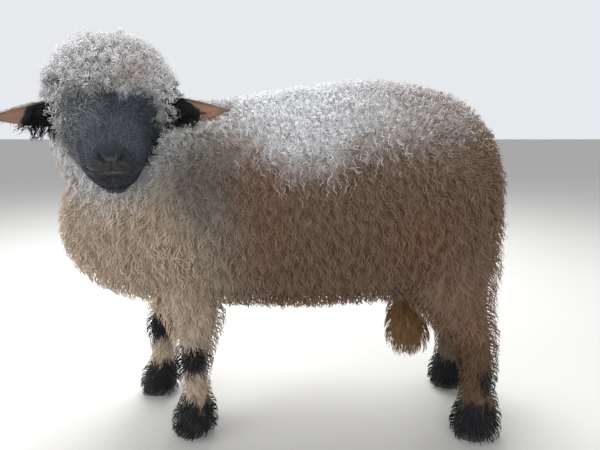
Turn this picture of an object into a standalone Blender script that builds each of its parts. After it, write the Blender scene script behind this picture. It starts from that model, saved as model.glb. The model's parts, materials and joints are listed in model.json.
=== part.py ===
"""Valais blacknose sheep, a young ram in full fleece, standing with its head turned to its left.

Metres, +Z up. +X is forward along the body, +Y the animal's left, the floor is z = 0 and the origin is
on the floor under the middle of the animal. The flesh and the core of the fleece are lofts through a
few named stations. Rounded clumps of wool stand on them out to the tips. Everything is fused into one
body first and then parted into head, neck, torso, tail, scrotum and legs by thin cuts, so that each
part meets its neighbour face to face.
"""

import math
import random

import bmesh
import bpy
import numpy as np
from mathutils import Matrix, Vector
from mathutils.bvhtree import BVHTree

# Gap kept between neighbouring parts.
GAP = 0.0003
# Splinters within this angle of one plane are joined after the cuts, and points this near are one.
FLAT_WITHIN = math.radians(0.3)
MERGE = 0.00001
# A slanting direction, along no face of any loft, in which rays are cast.
RAY = Vector((0.31, 0.23, 0.92)).normalized()
# Moves the body frame, whose middle plane is Y = 0, so that the origin is under the middle of the box.
FRAME_SHIFT = Vector((0.0064, -0.0366, 0.0))
SEED = 20

# Fleece: how far the clumps stand out of the core, and how far apart their roots are, by part.
CLUMPED = True
BODY_STAND = 0.031
BODY_SPACING = 0.093
NECK_STAND = 0.031
NECK_SPACING = 0.074
CAP_STAND = 0.026
CAP_SPACING = 0.053
LEG_STAND = (0.013, 0.030)
LEG_SPACING = (0.048, 0.082)
LEG_COAT_HEIGHTS = (0.10, 0.32)
TAIL_STAND = 0.017
TAIL_SPACING = 0.056
SCROTUM_STAND = 0.013
SCROTUM_SPACING = 0.048
# Roots tried for each square metre of a core, before those too near another are dropped.
ROOT_TRIES = 9000
# Half sizes of a clump along and across the lie, as shares of the spacing, and how far its tip hangs over.
CLUMP_LENGTH = 0.80
CLUMP_WIDTH = 0.70
CLUMP_HANG = 0.20
CLUMP_SINK = 0.16
CLUMP_SIDES = 6
CLUMP_RINGS = 4
# How much clumps differ in length, width, stand and turn.
LENGTH_RANGE = (0.90, 1.10)
WIDTH_RANGE = (0.92, 1.08)
STAND_RANGE = (0.90, 1.08)
TURN_RANGE = (-0.35, 0.35)
# A surface is the top or the under side, and not a flank, where its normal rises or falls this much.
LEVEL_ENOUGH = 0.85

# Sides of each loft, and how square its sections are: 1 is an oval, less is squarer.
TORSO_SIDES, TORSO_POWER = 18, 0.88
NECK_SIDES, NECK_POWER = 16, 0.95
SKULL_SIDES, SKULL_POWER = 18, 0.86
LIMB_SIDES = 10
LEAST_HALF = 0.006

# Torso, out to the tips of the fleece: place along X, top, bottom and half width.
TORSO_STATIONS = (
    (-0.474, 0.575, 0.440, 0.050),
    (-0.462, 0.628, 0.375, 0.110),
    (-0.435, 0.678, 0.325, 0.152),
    (-0.385, 0.718, 0.305, 0.182),
    (-0.310, 0.745, 0.298, 0.198),
    (-0.200, 0.758, 0.290, 0.206),
    (-0.080, 0.746, 0.282, 0.208),
    (0.040, 0.728, 0.284, 0.200),
    (0.150, 0.715, 0.286, 0.186),
    (0.250, 0.690, 0.290, 0.170),
    (0.340, 0.640, 0.310, 0.145),
    (0.405, 0.580, 0.350, 0.110),
    (0.440, 0.520, 0.410, 0.062),
)
# Towards its ends the core draws in: its middle, how far from it that begins and over what length.
TORSO_MIDDLE = -0.02
TORSO_STRAIGHT = 0.30
TORSO_END = 0.17
# Neck, out to the tips: middle of each section, half depth fore and aft, and half width.
NECK_STATIONS = (
    ((0.180, 0.000, 0.500), 0.190, 0.155),
    ((0.255, 0.000, 0.575), 0.176, 0.143),
    ((0.298, 0.008, 0.640), 0.150, 0.132),
    ((0.305, 0.030, 0.700), 0.128, 0.120),
    ((0.296, 0.055, 0.745), 0.092, 0.092),
)

# Head: the nose tip, the way the face points and how far it is bowed.
NOSE_TIP = Vector((0.229, 0.270, 0.614))
HEAD_YAW = math.radians(108.0)
HEAD_PITCH = math.radians(25.0)
# Bare head: distance back from the nose tip, top, bottom and half width.
SKULL_STATIONS = (
    (-0.003, -0.003, -0.033, 0.023),
    (0.003, 0.008, -0.047, 0.035),
    (0.014, 0.018, -0.059, 0.0430),
    (0.034, 0.027, -0.066, 0.0470),
    (0.060, 0.036, -0.071, 0.0475),
    (0.090, 0.046, -0.080, 0.0520),
    (0.118, 0.055, -0.091, 0.0620),
    (0.145, 0.063, -0.101, 0.0690),
    (0.180, 0.066, -0.106, 0.0700),
    (0.215, 0.058, -0.098, 0.0620),
    (0.245, 0.032, -0.062, 0.042),
)
# Height of the skull's widest line, as a share of each section.
SKULL_WAIST = 0.55
# Woolly cap: its middle behind the nose tip and above it, and its half sizes out to the tips.
CAP_BACK = 0.222
CAP_UP = 0.012
CAP_HALF = Vector((0.112, 0.121, 0.116))
# The crown, from which its wool falls, behind its middle, and where the wool begins behind the nose tip.
CROWN_BACK = 0.030
FACE_FUR_REACH = 0.150

EYE_BACK = 0.134
EYE_UP = 0.006
EYE_ASIDE = 0.0580
EYE_RADIUS = 0.0130
LID_RADIUS = 0.0170
LID_OPENING = Vector((0.0135, 0.020, 0.0075))
BROW_HALF = Vector((0.027, 0.018, 0.014))
BROW_RISE = 0.013
BROW_SINK = 0.006
LID_OPENING_OUT = 0.010
EYE_LOOK = Vector((0.52, 0.84, 0.12))

NOSTRIL_BACK = -0.001
NOSTRIL_UP = -0.006
NOSTRIL_ASIDE = 0.0155
NOSTRIL_HALF = Vector((0.012, 0.0042, 0.0075))
NOSTRIL_TURN = math.radians(38.0)

CLEFT_UP = (-0.016, -0.024, -0.032, -0.041)
CLEFT_RADIUS = 0.0016

# The mouth runs back along each side, first round the muzzle and then straight, and drops a little.
MOUTH_UP = -0.040
MOUTH_LENGTH = 0.058
MOUTH_BEND = 1.6
MOUTH_DROP = 0.10
MOUTH_POINTS = 8
MUZZLE_HEART = 0.028
MUZZLE_REACH = 0.09
MOUTH_RADIUS = 0.0021
LIP_RADIUS = 0.0062
LIP_RISE = 0.0062
LIP_SINK = 0.07

# Ears: root on the head, then length, half width, wall and the depth of the cup.
EAR_BACK = 0.188
EAR_UP = -0.004
EAR_ROOT_ASIDE = 0.074
EAR_LENGTH = 0.140
EAR_HALF_WIDTH = 0.034
EAR_WALL = 0.0048
EAR_CUP = 0.017
EAR_STEPS = 9
EAR_POINTS = 6
# Half width at the root as a share of the widest, where the widest lies, and how round the tip is.
EAR_ROOT_SHARE = 0.50
EAR_WIDEST = 0.74
EAR_TIP_ROUND = (3.2, 0.55)
EAR_LEAST_HALF = 0.004
EAR_BACKWARD = 0.010
EAR_FACING = (0.94, -0.30)
EAR_DROOP = {"left": math.radians(-4.0), "right": math.radians(7.0)}
EAR_SPACE = ((0.0, -0.038, -0.034), (0.300, 0.038, 0.022))
EAR_WOOL_HALF = Vector((0.036, 0.022, 0.015))
EAR_WOOL_SPACING = 0.036
EAR_WOOL_STAND = 0.008
EAR_WOOL_BEHIND = 0.006

# Under this height a leg carries no clump, for the claws' sake.
FOOT_LOW = 0.035
# Legs, out to the tips: height, place along X, half length and half width of each section.
FORE_NEAR = (
    (0.400, 0.175, 0.085, 0.062),
    (0.320, 0.168, 0.078, 0.060),
    (0.265, 0.158, 0.064, 0.056),
    (0.208, 0.160, 0.046, 0.046),
    (0.175, 0.163, 0.043, 0.044),
    (0.140, 0.165, 0.037, 0.038),
    (0.105, 0.163, 0.035, 0.036),
    (0.076, 0.164, 0.043, 0.042),
    (0.045, 0.169, 0.052, 0.049),
    (0.012, 0.172, 0.053, 0.050),
)
FORE_FAR = (
    (0.400, 0.195, 0.085, 0.062),
    (0.320, 0.222, 0.076, 0.060),
    (0.265, 0.248, 0.060, 0.056),
    (0.208, 0.276, 0.046, 0.046),
    (0.175, 0.284, 0.043, 0.044),
    (0.140, 0.284, 0.037, 0.038),
    (0.105, 0.283, 0.035, 0.036),
    (0.076, 0.287, 0.043, 0.042),
    (0.045, 0.294, 0.052, 0.049),
    (0.012, 0.298, 0.053, 0.050),
)
HIND_NEAR = (
    (0.480, -0.345, 0.120, 0.080),
    (0.400, -0.352, 0.116, 0.082),
    (0.335, -0.366, 0.098, 0.078),
    (0.290, -0.388, 0.080, 0.068),
    (0.247, -0.415, 0.061, 0.057),
    (0.213, -0.430, 0.050, 0.049),
    (0.160, -0.442, 0.044, 0.043),
    (0.119, -0.445, 0.041, 0.040),
    (0.083, -0.448, 0.046, 0.043),
    (0.050, -0.448, 0.056, 0.050),
    (0.012, -0.447, 0.057, 0.051),
)
HIND_FAR = (
    (0.480, -0.345, 0.120, 0.080),
    (0.400, -0.350, 0.116, 0.082),
    (0.335, -0.362, 0.098, 0.078),
    (0.290, -0.384, 0.080, 0.068),
    (0.247, -0.412, 0.061, 0.057),
    (0.213, -0.430, 0.050, 0.049),
    (0.160, -0.446, 0.044, 0.043),
    (0.119, -0.450, 0.041, 0.040),
    (0.083, -0.455, 0.046, 0.043),
    (0.050, -0.456, 0.056, 0.050),
    (0.012, -0.455, 0.057, 0.051),
)
# Each leg: its stations, the side it stands on, and its place across at the top and at the floor.
LEGS = {
    "leg_fore_left": (FORE_NEAR, 0.092, 0.080),
    "leg_fore_right": (FORE_FAR, -0.092, -0.082),
    "leg_hind_left": (HIND_NEAR, 0.098, 0.090),
    "leg_hind_right": (HIND_FAR, -0.098, -0.114),
}

# Claws: two to a foot.
CLAW_LENGTH = 0.064
CLAW_WIDTH = 0.027
CLAW_HEIGHT = 0.034
CLAW_CLEFT = 0.0035
CLAW_TOE_OUT = 0.010
CLAW_POINTS = 10
# Height of each ring of a claw and its size there, as shares, then how full and how pointed it is.
CLAW_RINGS = ((0.0, 1.00), (0.5, 0.95), (1.0, 0.86))
CLAW_FULLNESS = 0.7
CLAW_TAPER = 0.25
CLAW_TOE_SLOPE = 0.04
SOCKET_SIDE = 0.0006

# Tail and scrotum hang at the middle plane: height, place along X, half length and half width.
TAIL_STATIONS = (
    (0.640, -0.408, 0.020, 0.024),
    (0.595, -0.432, 0.038, 0.042),
    (0.520, -0.450, 0.045, 0.050),
    (0.430, -0.458, 0.046, 0.050),
    (0.360, -0.460, 0.038, 0.042),
    (0.320, -0.460, 0.018, 0.020),
)
SCROTUM_STATIONS = (
    (0.345, -0.302, 0.036, 0.034),
    (0.300, -0.303, 0.039, 0.037),
    (0.255, -0.306, 0.046, 0.041),
    (0.210, -0.309, 0.051, 0.045),
    (0.182, -0.311, 0.044, 0.039),
    (0.166, -0.312, 0.020, 0.018),
)

# Where the fused body is parted.
NECK_CUT_POINT = Vector((0.130, 0.0, 0.750))
NECK_CUT_NORMAL = Vector((0.647, 0.0, 0.762))
HEAD_SPACE_ROOM = 0.013
FACE_SPACE = ((-0.150, -0.080, -0.108), (0.060, 0.080, 0.100))
TAIL_BOX = ((-0.600, -0.066, 0.280), (-0.434, 0.066, 0.670))
SCROTUM_BOX = ((-0.374, -0.056, 0.100), (-0.246, 0.056, 0.300))
FORE_BOX = ((-0.010, 0.001, -0.050), (0.420, 0.300, 0.288))
HIND_BOX = ((-0.640, 0.001, -0.050), (-0.262, 0.300, 0.322))
HIND_BOX_TILT = math.radians(12.0)
# How far the tilted space of a hind leg runs on behind and below, and the half size of a cutting block.
HIND_BOX_SPARE = Vector((0.2, 0.0, 0.3))
CUT_REACH = 1.0

COLOURS = {
    "torso": ((0.55, 0.44, 0.35), 0.95),
    "neck": ((0.58, 0.50, 0.42), 0.95),
    "head": ((0.33, 0.31, 0.30), 0.90),
    "ear": ((0.30, 0.20, 0.16), 0.85),
    "eye": ((0.03, 0.02, 0.015), 0.15),
    "leg": ((0.50, 0.42, 0.34), 0.95),
    "tail": ((0.56, 0.45, 0.35), 0.95),
    "scrotum": ((0.42, 0.29, 0.17), 0.95),
    "claw": ((0.06, 0.05, 0.045), 0.55),
}


def head_axes():
    """Forward, left and up of the head, as unit vectors."""
    level = math.cos(HEAD_PITCH)
    forward = Vector(
        (math.cos(HEAD_YAW) * level, math.sin(HEAD_YAW) * level, -math.sin(HEAD_PITCH))
    )
    left = Vector((-math.sin(HEAD_YAW), math.cos(HEAD_YAW), 0.0))
    return forward, left, forward.cross(left)


def head_point(back, aside, up):
    """A point of the head, from its distance behind the nose tip, to its left and above."""
    forward, left, above = head_axes()
    return NOSE_TIP - forward * back + left * aside + above * up


def smooth_stations(stations, steps):
    """Rows on a smooth curve through the stations, steps to each stretch."""
    rows = np.array(stations, float)
    padded = np.vstack((2 * rows[0] - rows[1], rows, 2 * rows[-1] - rows[-2]))
    out = []
    for index in range(len(rows) - 1):
        before, start, end, after = padded[index : index + 4]
        for step in range(steps):
            t = step / steps
            bend = (2 * before - 5 * start + 4 * end - after) * t * t
            twist = (3 * start - before - 3 * end + after) * t * t * t
            out.append(0.5 * (2 * start + (end - before) * t + bend + twist))
    out.append(rows[-1])
    return out


def oval(centre, side, rise, half_side, half_up, half_down, sides, power=1.0):
    """One closed ring of points round a centre, flatter or squarer as power is under 1."""
    ring = []
    for index in range(sides):
        turn = 2 * math.pi * (index + 0.5) / sides
        across = math.copysign(abs(math.cos(turn)) ** power, math.cos(turn))
        along = math.copysign(abs(math.sin(turn)) ** power, math.sin(turn))
        reach = half_up if along > 0 else half_down
        ring.append(centre + side * (half_side * across) + rise * (reach * along))
    return ring


def loft(name, rings):
    """A closed mesh object through rings of equal count, closed at both ends by a point."""
    mesh = bmesh.new()
    rows = [[mesh.verts.new(point) for point in ring] for ring in rings]
    for row, after in zip(rows, rows[1:]):
        for index in range(len(row)):
            other = (index + 1) % len(row)
            mesh.faces.new((row[index], row[other], after[other], after[index]))
    for row in (rows[0], rows[-1]):
        middle = sum((vert.co for vert in row), Vector()) / len(row)
        pole = mesh.verts.new(middle)
        for index in range(len(row)):
            mesh.faces.new((row[index], row[(index + 1) % len(row)], pole))
    return object_from(name, mesh)


def object_from(name, mesh):
    """Turns a bmesh into an object with its faces pointing out."""
    bmesh.ops.recalc_face_normals(mesh, faces=mesh.faces)
    if mesh.calc_volume(signed=True) < 0:
        bmesh.ops.reverse_faces(mesh, faces=mesh.faces)
    data = bpy.data.meshes.new(name)
    mesh.to_mesh(data)
    mesh.free()
    fix_order(data)
    obj = bpy.data.objects.new(name, data)
    bpy.context.scene.collection.objects.link(obj)
    return obj


def fix_order(data):
    """Puts a mesh's points and faces in one order, so that every run gives the same result."""
    points = [tuple(vert.co) for vert in data.vertices]
    order = sorted(range(len(points)), key=lambda index: points[index])
    places = {old: new for new, old in enumerate(order)}
    faces = []
    for face in data.polygons:
        corners = [places[index] for index in face.vertices]
        first = corners.index(min(corners))
        faces.append(corners[first:] + corners[:first])
    data.clear_geometry()
    data.from_pydata([points[index] for index in order], [], sorted(faces))


def ball(name, centre, axes, half, sides=10, rings=7):
    """An ellipsoid with its three half sizes along three axes."""
    mesh = bmesh.new()
    bmesh.ops.create_uvsphere(mesh, u_segments=sides, v_segments=rings, radius=1.0)
    for vert in mesh.verts:
        x, y, z = vert.co
        vert.co = centre + axes[0] * (x * half[0]) + axes[1] * (y * half[1]) + axes[2] * (z * half[2])
    return object_from(name, mesh)


def block(name, low, high, matrix=None):
    """A box between two corners, turned by a matrix where one is given."""
    mesh = bmesh.new()
    bmesh.ops.create_cube(mesh, size=1.0)
    low, high = Vector(low), Vector(high)
    for vert in mesh.verts:
        place = (low + high) / 2 + Vector(a * b for a, b in zip(vert.co, high - low))
        vert.co = matrix @ place if matrix else place
    return object_from(name, mesh)


def tube(name, points, radius, resolution=2):
    """A round tube along points, as a closed mesh."""
    curve = bpy.data.curves.new(name, "CURVE")
    curve.dimensions = "3D"
    curve.bevel_depth = radius
    curve.bevel_resolution = resolution
    curve.use_fill_caps = True
    spline = curve.splines.new("POLY")
    spline.points.add(len(points) - 1)
    for point, place in zip(spline.points, points):
        point.co = (*place, 1.0)
    holder = bpy.data.objects.new(name, curve)
    bpy.context.scene.collection.objects.link(holder)
    obj = mesh_copy(holder, name)
    bpy.data.objects.remove(holder)
    mesh = bmesh.new()
    mesh.from_mesh(obj.data)
    bmesh.ops.remove_doubles(mesh, verts=mesh.verts, dist=MERGE)
    bmesh.ops.recalc_face_normals(mesh, faces=mesh.faces)
    mesh.to_mesh(obj.data)
    mesh.free()
    fix_order(obj.data)
    return obj


def mesh_copy(obj, name):
    """A plain mesh object of what an object shows with its modifiers."""
    bpy.context.view_layer.update()
    graph = bpy.context.evaluated_depsgraph_get()
    data = bpy.data.meshes.new_from_object(obj.evaluated_get(graph))
    copy = bpy.data.objects.new(name, data)
    bpy.context.scene.collection.objects.link(copy)
    return copy


def combined(obj, others, operation, keep_others=False):
    """The object joined with, cut by or cropped to others, with its largest closed surface kept."""
    group = bpy.data.collections.new("pieces")
    bpy.context.scene.collection.children.link(group)
    for other in others:
        group.objects.link(other)
    modifier = obj.modifiers.new("fit", "BOOLEAN")
    modifier.operation = operation
    modifier.solver = "MANIFOLD"
    modifier.operand_type = "COLLECTION"
    modifier.collection = group
    result = mesh_copy(obj, obj.name)
    name = obj.name
    bpy.data.objects.remove(obj)
    result.name = name
    for other in list(group.objects):
        group.objects.unlink(other)
        if not keep_others:
            bpy.data.objects.remove(other)
    bpy.data.collections.remove(group)
    fix_order(result.data)
    keep_largest(result)
    return result


def cropped(obj, name, region):
    """A new object: the part of obj that lies inside region. Both stay."""
    copy = bpy.data.objects.new(name, obj.data.copy())
    bpy.context.scene.collection.objects.link(copy)
    return combined(copy, [region], "INTERSECT", keep_others=True)


def keep_largest(obj):
    """Drops all but the closed surface that encloses most."""
    mesh = bmesh.new()
    mesh.from_mesh(obj.data)
    bmesh.ops.triangulate(mesh, faces=mesh.faces)
    left = set(mesh.faces)
    shells = []
    while left:
        shell = {left.pop()}
        edge_of_search = list(shell)
        while edge_of_search:
            face = edge_of_search.pop()
            for edge in face.edges:
                for near in edge.link_faces:
                    if near in left:
                        left.remove(near)
                        shell.add(near)
                        edge_of_search.append(near)
        shells.append(shell)
    shells.sort(key=enclosed, reverse=True)
    for shell in shells[1:]:
        bmesh.ops.delete(mesh, geom=list(shell), context="FACES")
    loose = [vert for vert in mesh.verts if not vert.link_faces]
    bmesh.ops.delete(mesh, geom=loose, context="VERTS")
    mesh.to_mesh(obj.data)
    mesh.free()
    fix_order(obj.data)


def simplified(obj):
    """Joins the flat splinters that cuts leave, where the surface stays closed, and makes triangles."""
    whole = obj.data.copy()
    mesh = bmesh.new()
    mesh.from_mesh(obj.data)
    bmesh.ops.remove_doubles(mesh, verts=mesh.verts, dist=MERGE)
    bmesh.ops.dissolve_limit(mesh, angle_limit=FLAT_WITHIN, verts=mesh.verts, edges=mesh.edges)
    mesh.to_mesh(obj.data)
    fix_order(obj.data)
    mesh.clear()
    mesh.from_mesh(obj.data)
    bmesh.ops.triangulate(mesh, faces=mesh.faces)
    mesh.to_mesh(obj.data)
    if not all(len(edge.link_faces) == 2 for edge in mesh.edges):
        obj.data = whole
    mesh.free()
    fix_order(obj.data)
    return obj


def enclosed(shell):
    """Signed volume inside a set of triangles."""
    total = 0.0
    for face in shell:
        a, b, c = (vert.co for vert in face.verts)
        total += a.dot(b.cross(c))
    return total / 6


def coat_between(height, pair):
    """A leg's coat value at a height, between its value at the foot and at the body."""
    low, high = LEG_COAT_HEIGHTS
    share = min(max((height - low) / (high - low), 0.0), 1.0)
    return pair[0] + (pair[1] - pair[0]) * share


def torso_core(inset):
    """Torso loft, inside the tips by inset."""
    rings = []
    across, upward = Vector((0, 1, 0)), Vector((0, 0, 1))
    for x, top, bottom, half in TORSO_STATIONS:
        end = max(abs(x - TORSO_MIDDLE) - TORSO_STRAIGHT, 0.0) / TORSO_END
        shift = inset * min(end, 1.0) * math.copysign(1.0, x - TORSO_MIDDLE)
        middle = Vector((x - shift, 0.0, (top + bottom) / 2))
        rise = max((top - bottom) / 2 - inset, 2 * LEAST_HALF)
        side = max(half - inset, 2 * LEAST_HALF)
        rings.append(oval(middle, across, upward, side, rise, rise, TORSO_SIDES, TORSO_POWER))
    return loft("torso_core", rings)


def neck_core(inset):
    """Neck loft, inside the tips by inset."""
    rows = [(*middle, depth, half) for middle, depth, half in NECK_STATIONS]
    rows = smooth_stations(rows, 2)
    rings = []
    for index, row in enumerate(rows):
        before = Vector(rows[max(index - 1, 0)][:3])
        after = Vector(rows[min(index + 1, len(rows) - 1)][:3])
        along = (after - before).normalized()
        side = Vector((0, 1, 0))
        front = side.cross(along).normalized()
        side = along.cross(front)
        centre = Vector(row[:3])
        depth = row[3] - inset
        half = row[4] - inset
        rings.append(oval(centre, side, front, half, depth, depth, NECK_SIDES, NECK_POWER))
    return loft("neck_core", rings)


def skull_core():
    """The bare head, from the nose to the poll."""
    forward, left, above = head_axes()
    rings = []
    for back, top, bottom, half in SKULL_STATIONS:
        waist = bottom + (top - bottom) * SKULL_WAIST
        middle = head_point(back, 0.0, waist)
        over, under = top - waist, waist - bottom
        rings.append(oval(middle, left, above, half, over, under, SKULL_SIDES, SKULL_POWER))
    return loft("skull_core", rings)


def cap_core(inset):
    """The core of the woolly cap over the poll and the cheeks."""
    half = CAP_HALF - Vector((inset, inset, inset))
    return ball("cap_core", head_point(CAP_BACK, 0.0, CAP_UP), head_axes(), half, 12, 9)


def column(name, rows):
    """A loft down level sections: height, X, Y, half length, half width."""
    rings = []
    for height, x, y, half_x, half_y in rows:
        middle = Vector((x, y, height))
        ahead, across = Vector((1, 0, 0)), Vector((0, 1, 0))
        rings.append(oval(middle, ahead, across, half_x, half_y, half_y, LIMB_SIDES))
    return loft(name, rings)


def leg_core(name, clumped):
    """One leg, from inside the body to just over the floor."""
    stations, y_top, y_floor = LEGS[name]
    top = stations[0][0]
    rows = []
    for height, x, half_x, half_y in stations:
        y = y_floor + (y_top - y_floor) * height / top
        inset = coat_between(height, LEG_STAND) if clumped else 0.0
        rows.append((height, x, y, half_x - inset, half_y - inset))
    return column(name + "_core", rows)


def hanging_core(name, stations, inset):
    """Tail or scrotum, hanging at the middle plane."""
    rows = []
    for height, x, half_x, half_y in stations:
        half_x, half_y = max(half_x - inset, LEAST_HALF), max(half_y - inset, LEAST_HALF)
        rows.append((height, x, 0.0, half_x, half_y))
    return column(name + "_core", rows)


class Coat:
    """How the clumps stand on one core: spacing, stand and lie at a point, and where there are none."""

    def __init__(self, core, spacing, stand, lie, bare=None):
        self.core = core
        self.spacing = spacing
        self.stand = stand
        self.lie = lie
        self.bare = bare or (lambda point: False)


def body_lie(point, out):
    """Wool falls back along the top line and hangs down on the flanks."""
    if abs(out.z) < LEVEL_ENOUGH:
        return along_surface(Vector((-0.25, 0.0, -1.0)), out)
    return along_surface(Vector((-1.0, 0.0, 0.0)), out)


def cap_lie(point, out):
    """Wool falls forward and to both sides from the crown."""
    crown = head_point(CAP_BACK + CROWN_BACK, 0.0, CAP_UP + CAP_HALF.z)
    return along_surface((point - crown).normalized() + Vector((0, 0, -0.3)), out)


def hanging_lie(point, out):
    """Wool that hangs straight down."""
    return along_surface(Vector((0, 0, -1)), out)


def along_surface(direction, out):
    """A direction laid into the surface with the given outward normal."""
    flat = direction - out * direction.dot(out)
    if flat.length < 0.001:
        flat = out.orthogonal()
    return flat.normalized()


def surface_draws(obj, draw):
    """Points with outward normals, spread at random over an object's surface."""
    obj.data.calc_loop_triangles()
    triangles = obj.data.loop_triangles
    areas = np.array([triangle.area for triangle in triangles])
    edges = np.cumsum(areas) / areas.sum()
    found = []
    for _ in range(int(ROOT_TRIES * areas.sum())):
        triangle = triangles[int(np.searchsorted(edges, draw.random()))]
        a, b, c = (obj.data.vertices[index].co for index in triangle.vertices)
        first, second = draw.random(), draw.random()
        if first + second > 1:
            first, second = 1 - first, 1 - second
        found.append((a + (b - a) * first + (c - a) * second, triangle.normal.copy()))
    return found


def tree_of(obj):
    """A search tree over an object's faces."""
    mesh = bmesh.new()
    mesh.from_mesh(obj.data)
    tree = BVHTree.FromBMesh(mesh)
    mesh.free()
    return tree


def inside(tree, point):
    """Whether a point lies in the closed mesh of a search tree, so that a ray from it leaves the mesh once more
    than it enters it."""
    crossings = 0
    place = tree.ray_cast(point, RAY)[0]
    while place is not None:
        crossings += 1
        place = tree.ray_cast(place + RAY * MERGE, RAY)[0]
    return crossings % 2 == 1


def clump(root, out, lie, spacing, stand, tree, draw):
    """One rounded clump: sunk in the core, bent round it and leaning along the lie towards its tip."""
    across = out.cross(lie)
    length = spacing * CLUMP_LENGTH * draw.uniform(*LENGTH_RANGE)
    width = spacing * CLUMP_WIDTH * draw.uniform(*WIDTH_RANGE)
    rise = stand * draw.uniform(*STAND_RANGE)
    half_rise = rise / 2 + spacing * CLUMP_SINK
    centre = root + out * (rise - half_rise)
    turn = draw.uniform(*TURN_RANGE)
    lie = lie * math.cos(turn) + across * math.sin(turn)
    axes = (lie, out.cross(lie), out)
    obj = ball("clump", centre, axes, (length, width, half_rise), CLUMP_SIDES, CLUMP_RINGS)
    for vert in obj.data.vertices:
        height = (vert.co - root).dot(out)
        level = vert.co - out * height
        fall = (level - tree.find_nearest(level)[0]).dot(out)
        hang = CLUMP_HANG * spacing * max(height / rise, 0.0) ** 2
        vert.co += lie * hang - out * fall
    return obj


def clumps_over(coats, solids):
    """Clumps of every coat, their roots spread evenly and none starting inside another core."""
    draw = random.Random(SEED)
    taken = np.zeros((0, 4))
    made = []
    trees = {name: tree_of(obj) for name, obj in solids.items()}
    for coat in coats:
        others = [tree for name, tree in trees.items() if name != coat.core.name]
        for point, out in surface_draws(coat.core, draw):
            spacing = coat.spacing(point)
            if coat.bare(point) or any(inside(tree, point) for tree in others):
                continue
            apart = np.linalg.norm(taken[:, :3] - np.array(point), axis=1)
            if np.any(apart < (taken[:, 3] + spacing) / 2):
                continue
            taken = np.vstack((taken, (*point, spacing)))
            lie = coat.lie(point, out)
            tree = trees[coat.core.name]
            made.append(clump(point, out, lie, spacing, coat.stand(point), tree, draw))
    return made


def constant(value):
    """A coat value that is the same all over its part."""
    return lambda point: value


def face_is_bare(point):
    """The face in front of the cap, where the coat is short fur."""
    forward = head_axes()[0]
    return (NOSE_TIP - point).dot(forward) < FACE_FUR_REACH


def foot_is_low(point):
    """Too near the floor for a clump."""
    return point.z < FOOT_LOW


def body_coats(cores):
    """The coats of all woolly cores, from the largest to the smallest."""
    leg_spacing = lambda point: coat_between(point.z, LEG_SPACING)
    leg_stand = lambda point: coat_between(point.z, LEG_STAND)
    coats = [
        Coat(cores["cap_core"], constant(CAP_SPACING), constant(CAP_STAND), cap_lie, face_is_bare),
        Coat(cores["neck_core"], constant(NECK_SPACING), constant(NECK_STAND), body_lie),
        Coat(cores["torso_core"], constant(BODY_SPACING), constant(BODY_STAND), body_lie),
    ]
    for name in LEGS:
        coats.append(Coat(cores[name + "_core"], leg_spacing, leg_stand, hanging_lie, foot_is_low))
    coats.append(Coat(cores["tail_core"], constant(TAIL_SPACING), constant(TAIL_STAND), hanging_lie))
    coats.append(
        Coat(cores["scrotum_core"], constant(SCROTUM_SPACING), constant(SCROTUM_STAND), hanging_lie)
    )
    return coats


def lip_path(tree, rise):
    """Points round the muzzle on the line of the mouth, moved up or down by rise."""
    points = []
    for step in range(-MOUTH_POINTS, MOUTH_POINTS + 1):
        share = step / MOUTH_POINTS
        back = MOUTH_LENGTH * abs(share) ** MOUTH_BEND
        up = MOUTH_UP - MOUTH_DROP * back + rise
        heart = head_point(back + MUZZLE_HEART, 0.0, up)
        outside = head_point(back - 0.02 * (1 - abs(share)), MUZZLE_REACH * share, up)
        place = tree.ray_cast(outside + (outside - heart), heart - outside)[0]
        if place is not None:
            points.append(place)
    return points


def cleft_path(tree):
    """Points down the groove from the nose to the middle of the mouth."""
    points = []
    for up in CLEFT_UP:
        ahead = head_point(-MUZZLE_REACH, 0.0, up)
        points.append(tree.ray_cast(ahead, head_point(MUZZLE_REACH, 0.0, up) - ahead)[0])
    return points


def eye_frame(side):
    """Middle of an eye, and the directions along the lids, across them and out of the eye."""
    forward, left, above = head_axes()
    look = (forward * EYE_LOOK.x + left * (EYE_LOOK.y * side) + above * EYE_LOOK.z).normalized()
    level = above.cross(look).normalized()
    return head_point(EYE_BACK, EYE_ASIDE * side, EYE_UP), level, look.cross(level), look


def face_forms(skull):
    """Lids, lips and their cutters for the head: what is added, and what is cut away."""
    forward, left, above = head_axes()
    tree = tree_of(skull)
    added = []
    removed = [tube("cleft", cleft_path(tree), CLEFT_RADIUS, 1)]
    for side in (1, -1):
        eye, level, rise, look = eye_frame(side)
        added.append(ball("lids", eye, (level, rise, look), [LID_RADIUS] * 3, 12, 8))
        brow = eye + rise * BROW_RISE - look * BROW_SINK
        added.append(ball("brow", brow, (level, rise, look), BROW_HALF, 10, 6))
        socket = EYE_RADIUS + GAP
        removed.append(ball("socket", eye, (level, rise, look), [socket] * 3, 12, 8))
        opening = (LID_OPENING.x, LID_OPENING.z, LID_OPENING.y)
        ahead = eye + look * LID_OPENING_OUT
        removed.append(ball("opening", ahead, (level, rise, look), opening, 10, 6))
        nostril = head_point(NOSTRIL_BACK, NOSTRIL_ASIDE * side, NOSTRIL_UP)
        slant = above * math.cos(NOSTRIL_TURN) + left * (side * math.sin(NOSTRIL_TURN))
        wide = slant.cross(forward).normalized()
        removed.append(ball("nostril", nostril, (forward, wide, slant), NOSTRIL_HALF, 8, 6))
    heart = head_point(MUZZLE_HEART, 0, MOUTH_UP)
    for rise in (LIP_RISE, -LIP_RISE):
        inner = [point - (point - heart) * LIP_SINK for point in lip_path(tree, rise)]
        added.append(tube("lip", inner, LIP_RADIUS, 1))
    removed.append(tube("mouth", lip_path(tree, 0.0), MOUTH_RADIUS, 1))
    return added, removed


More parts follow.
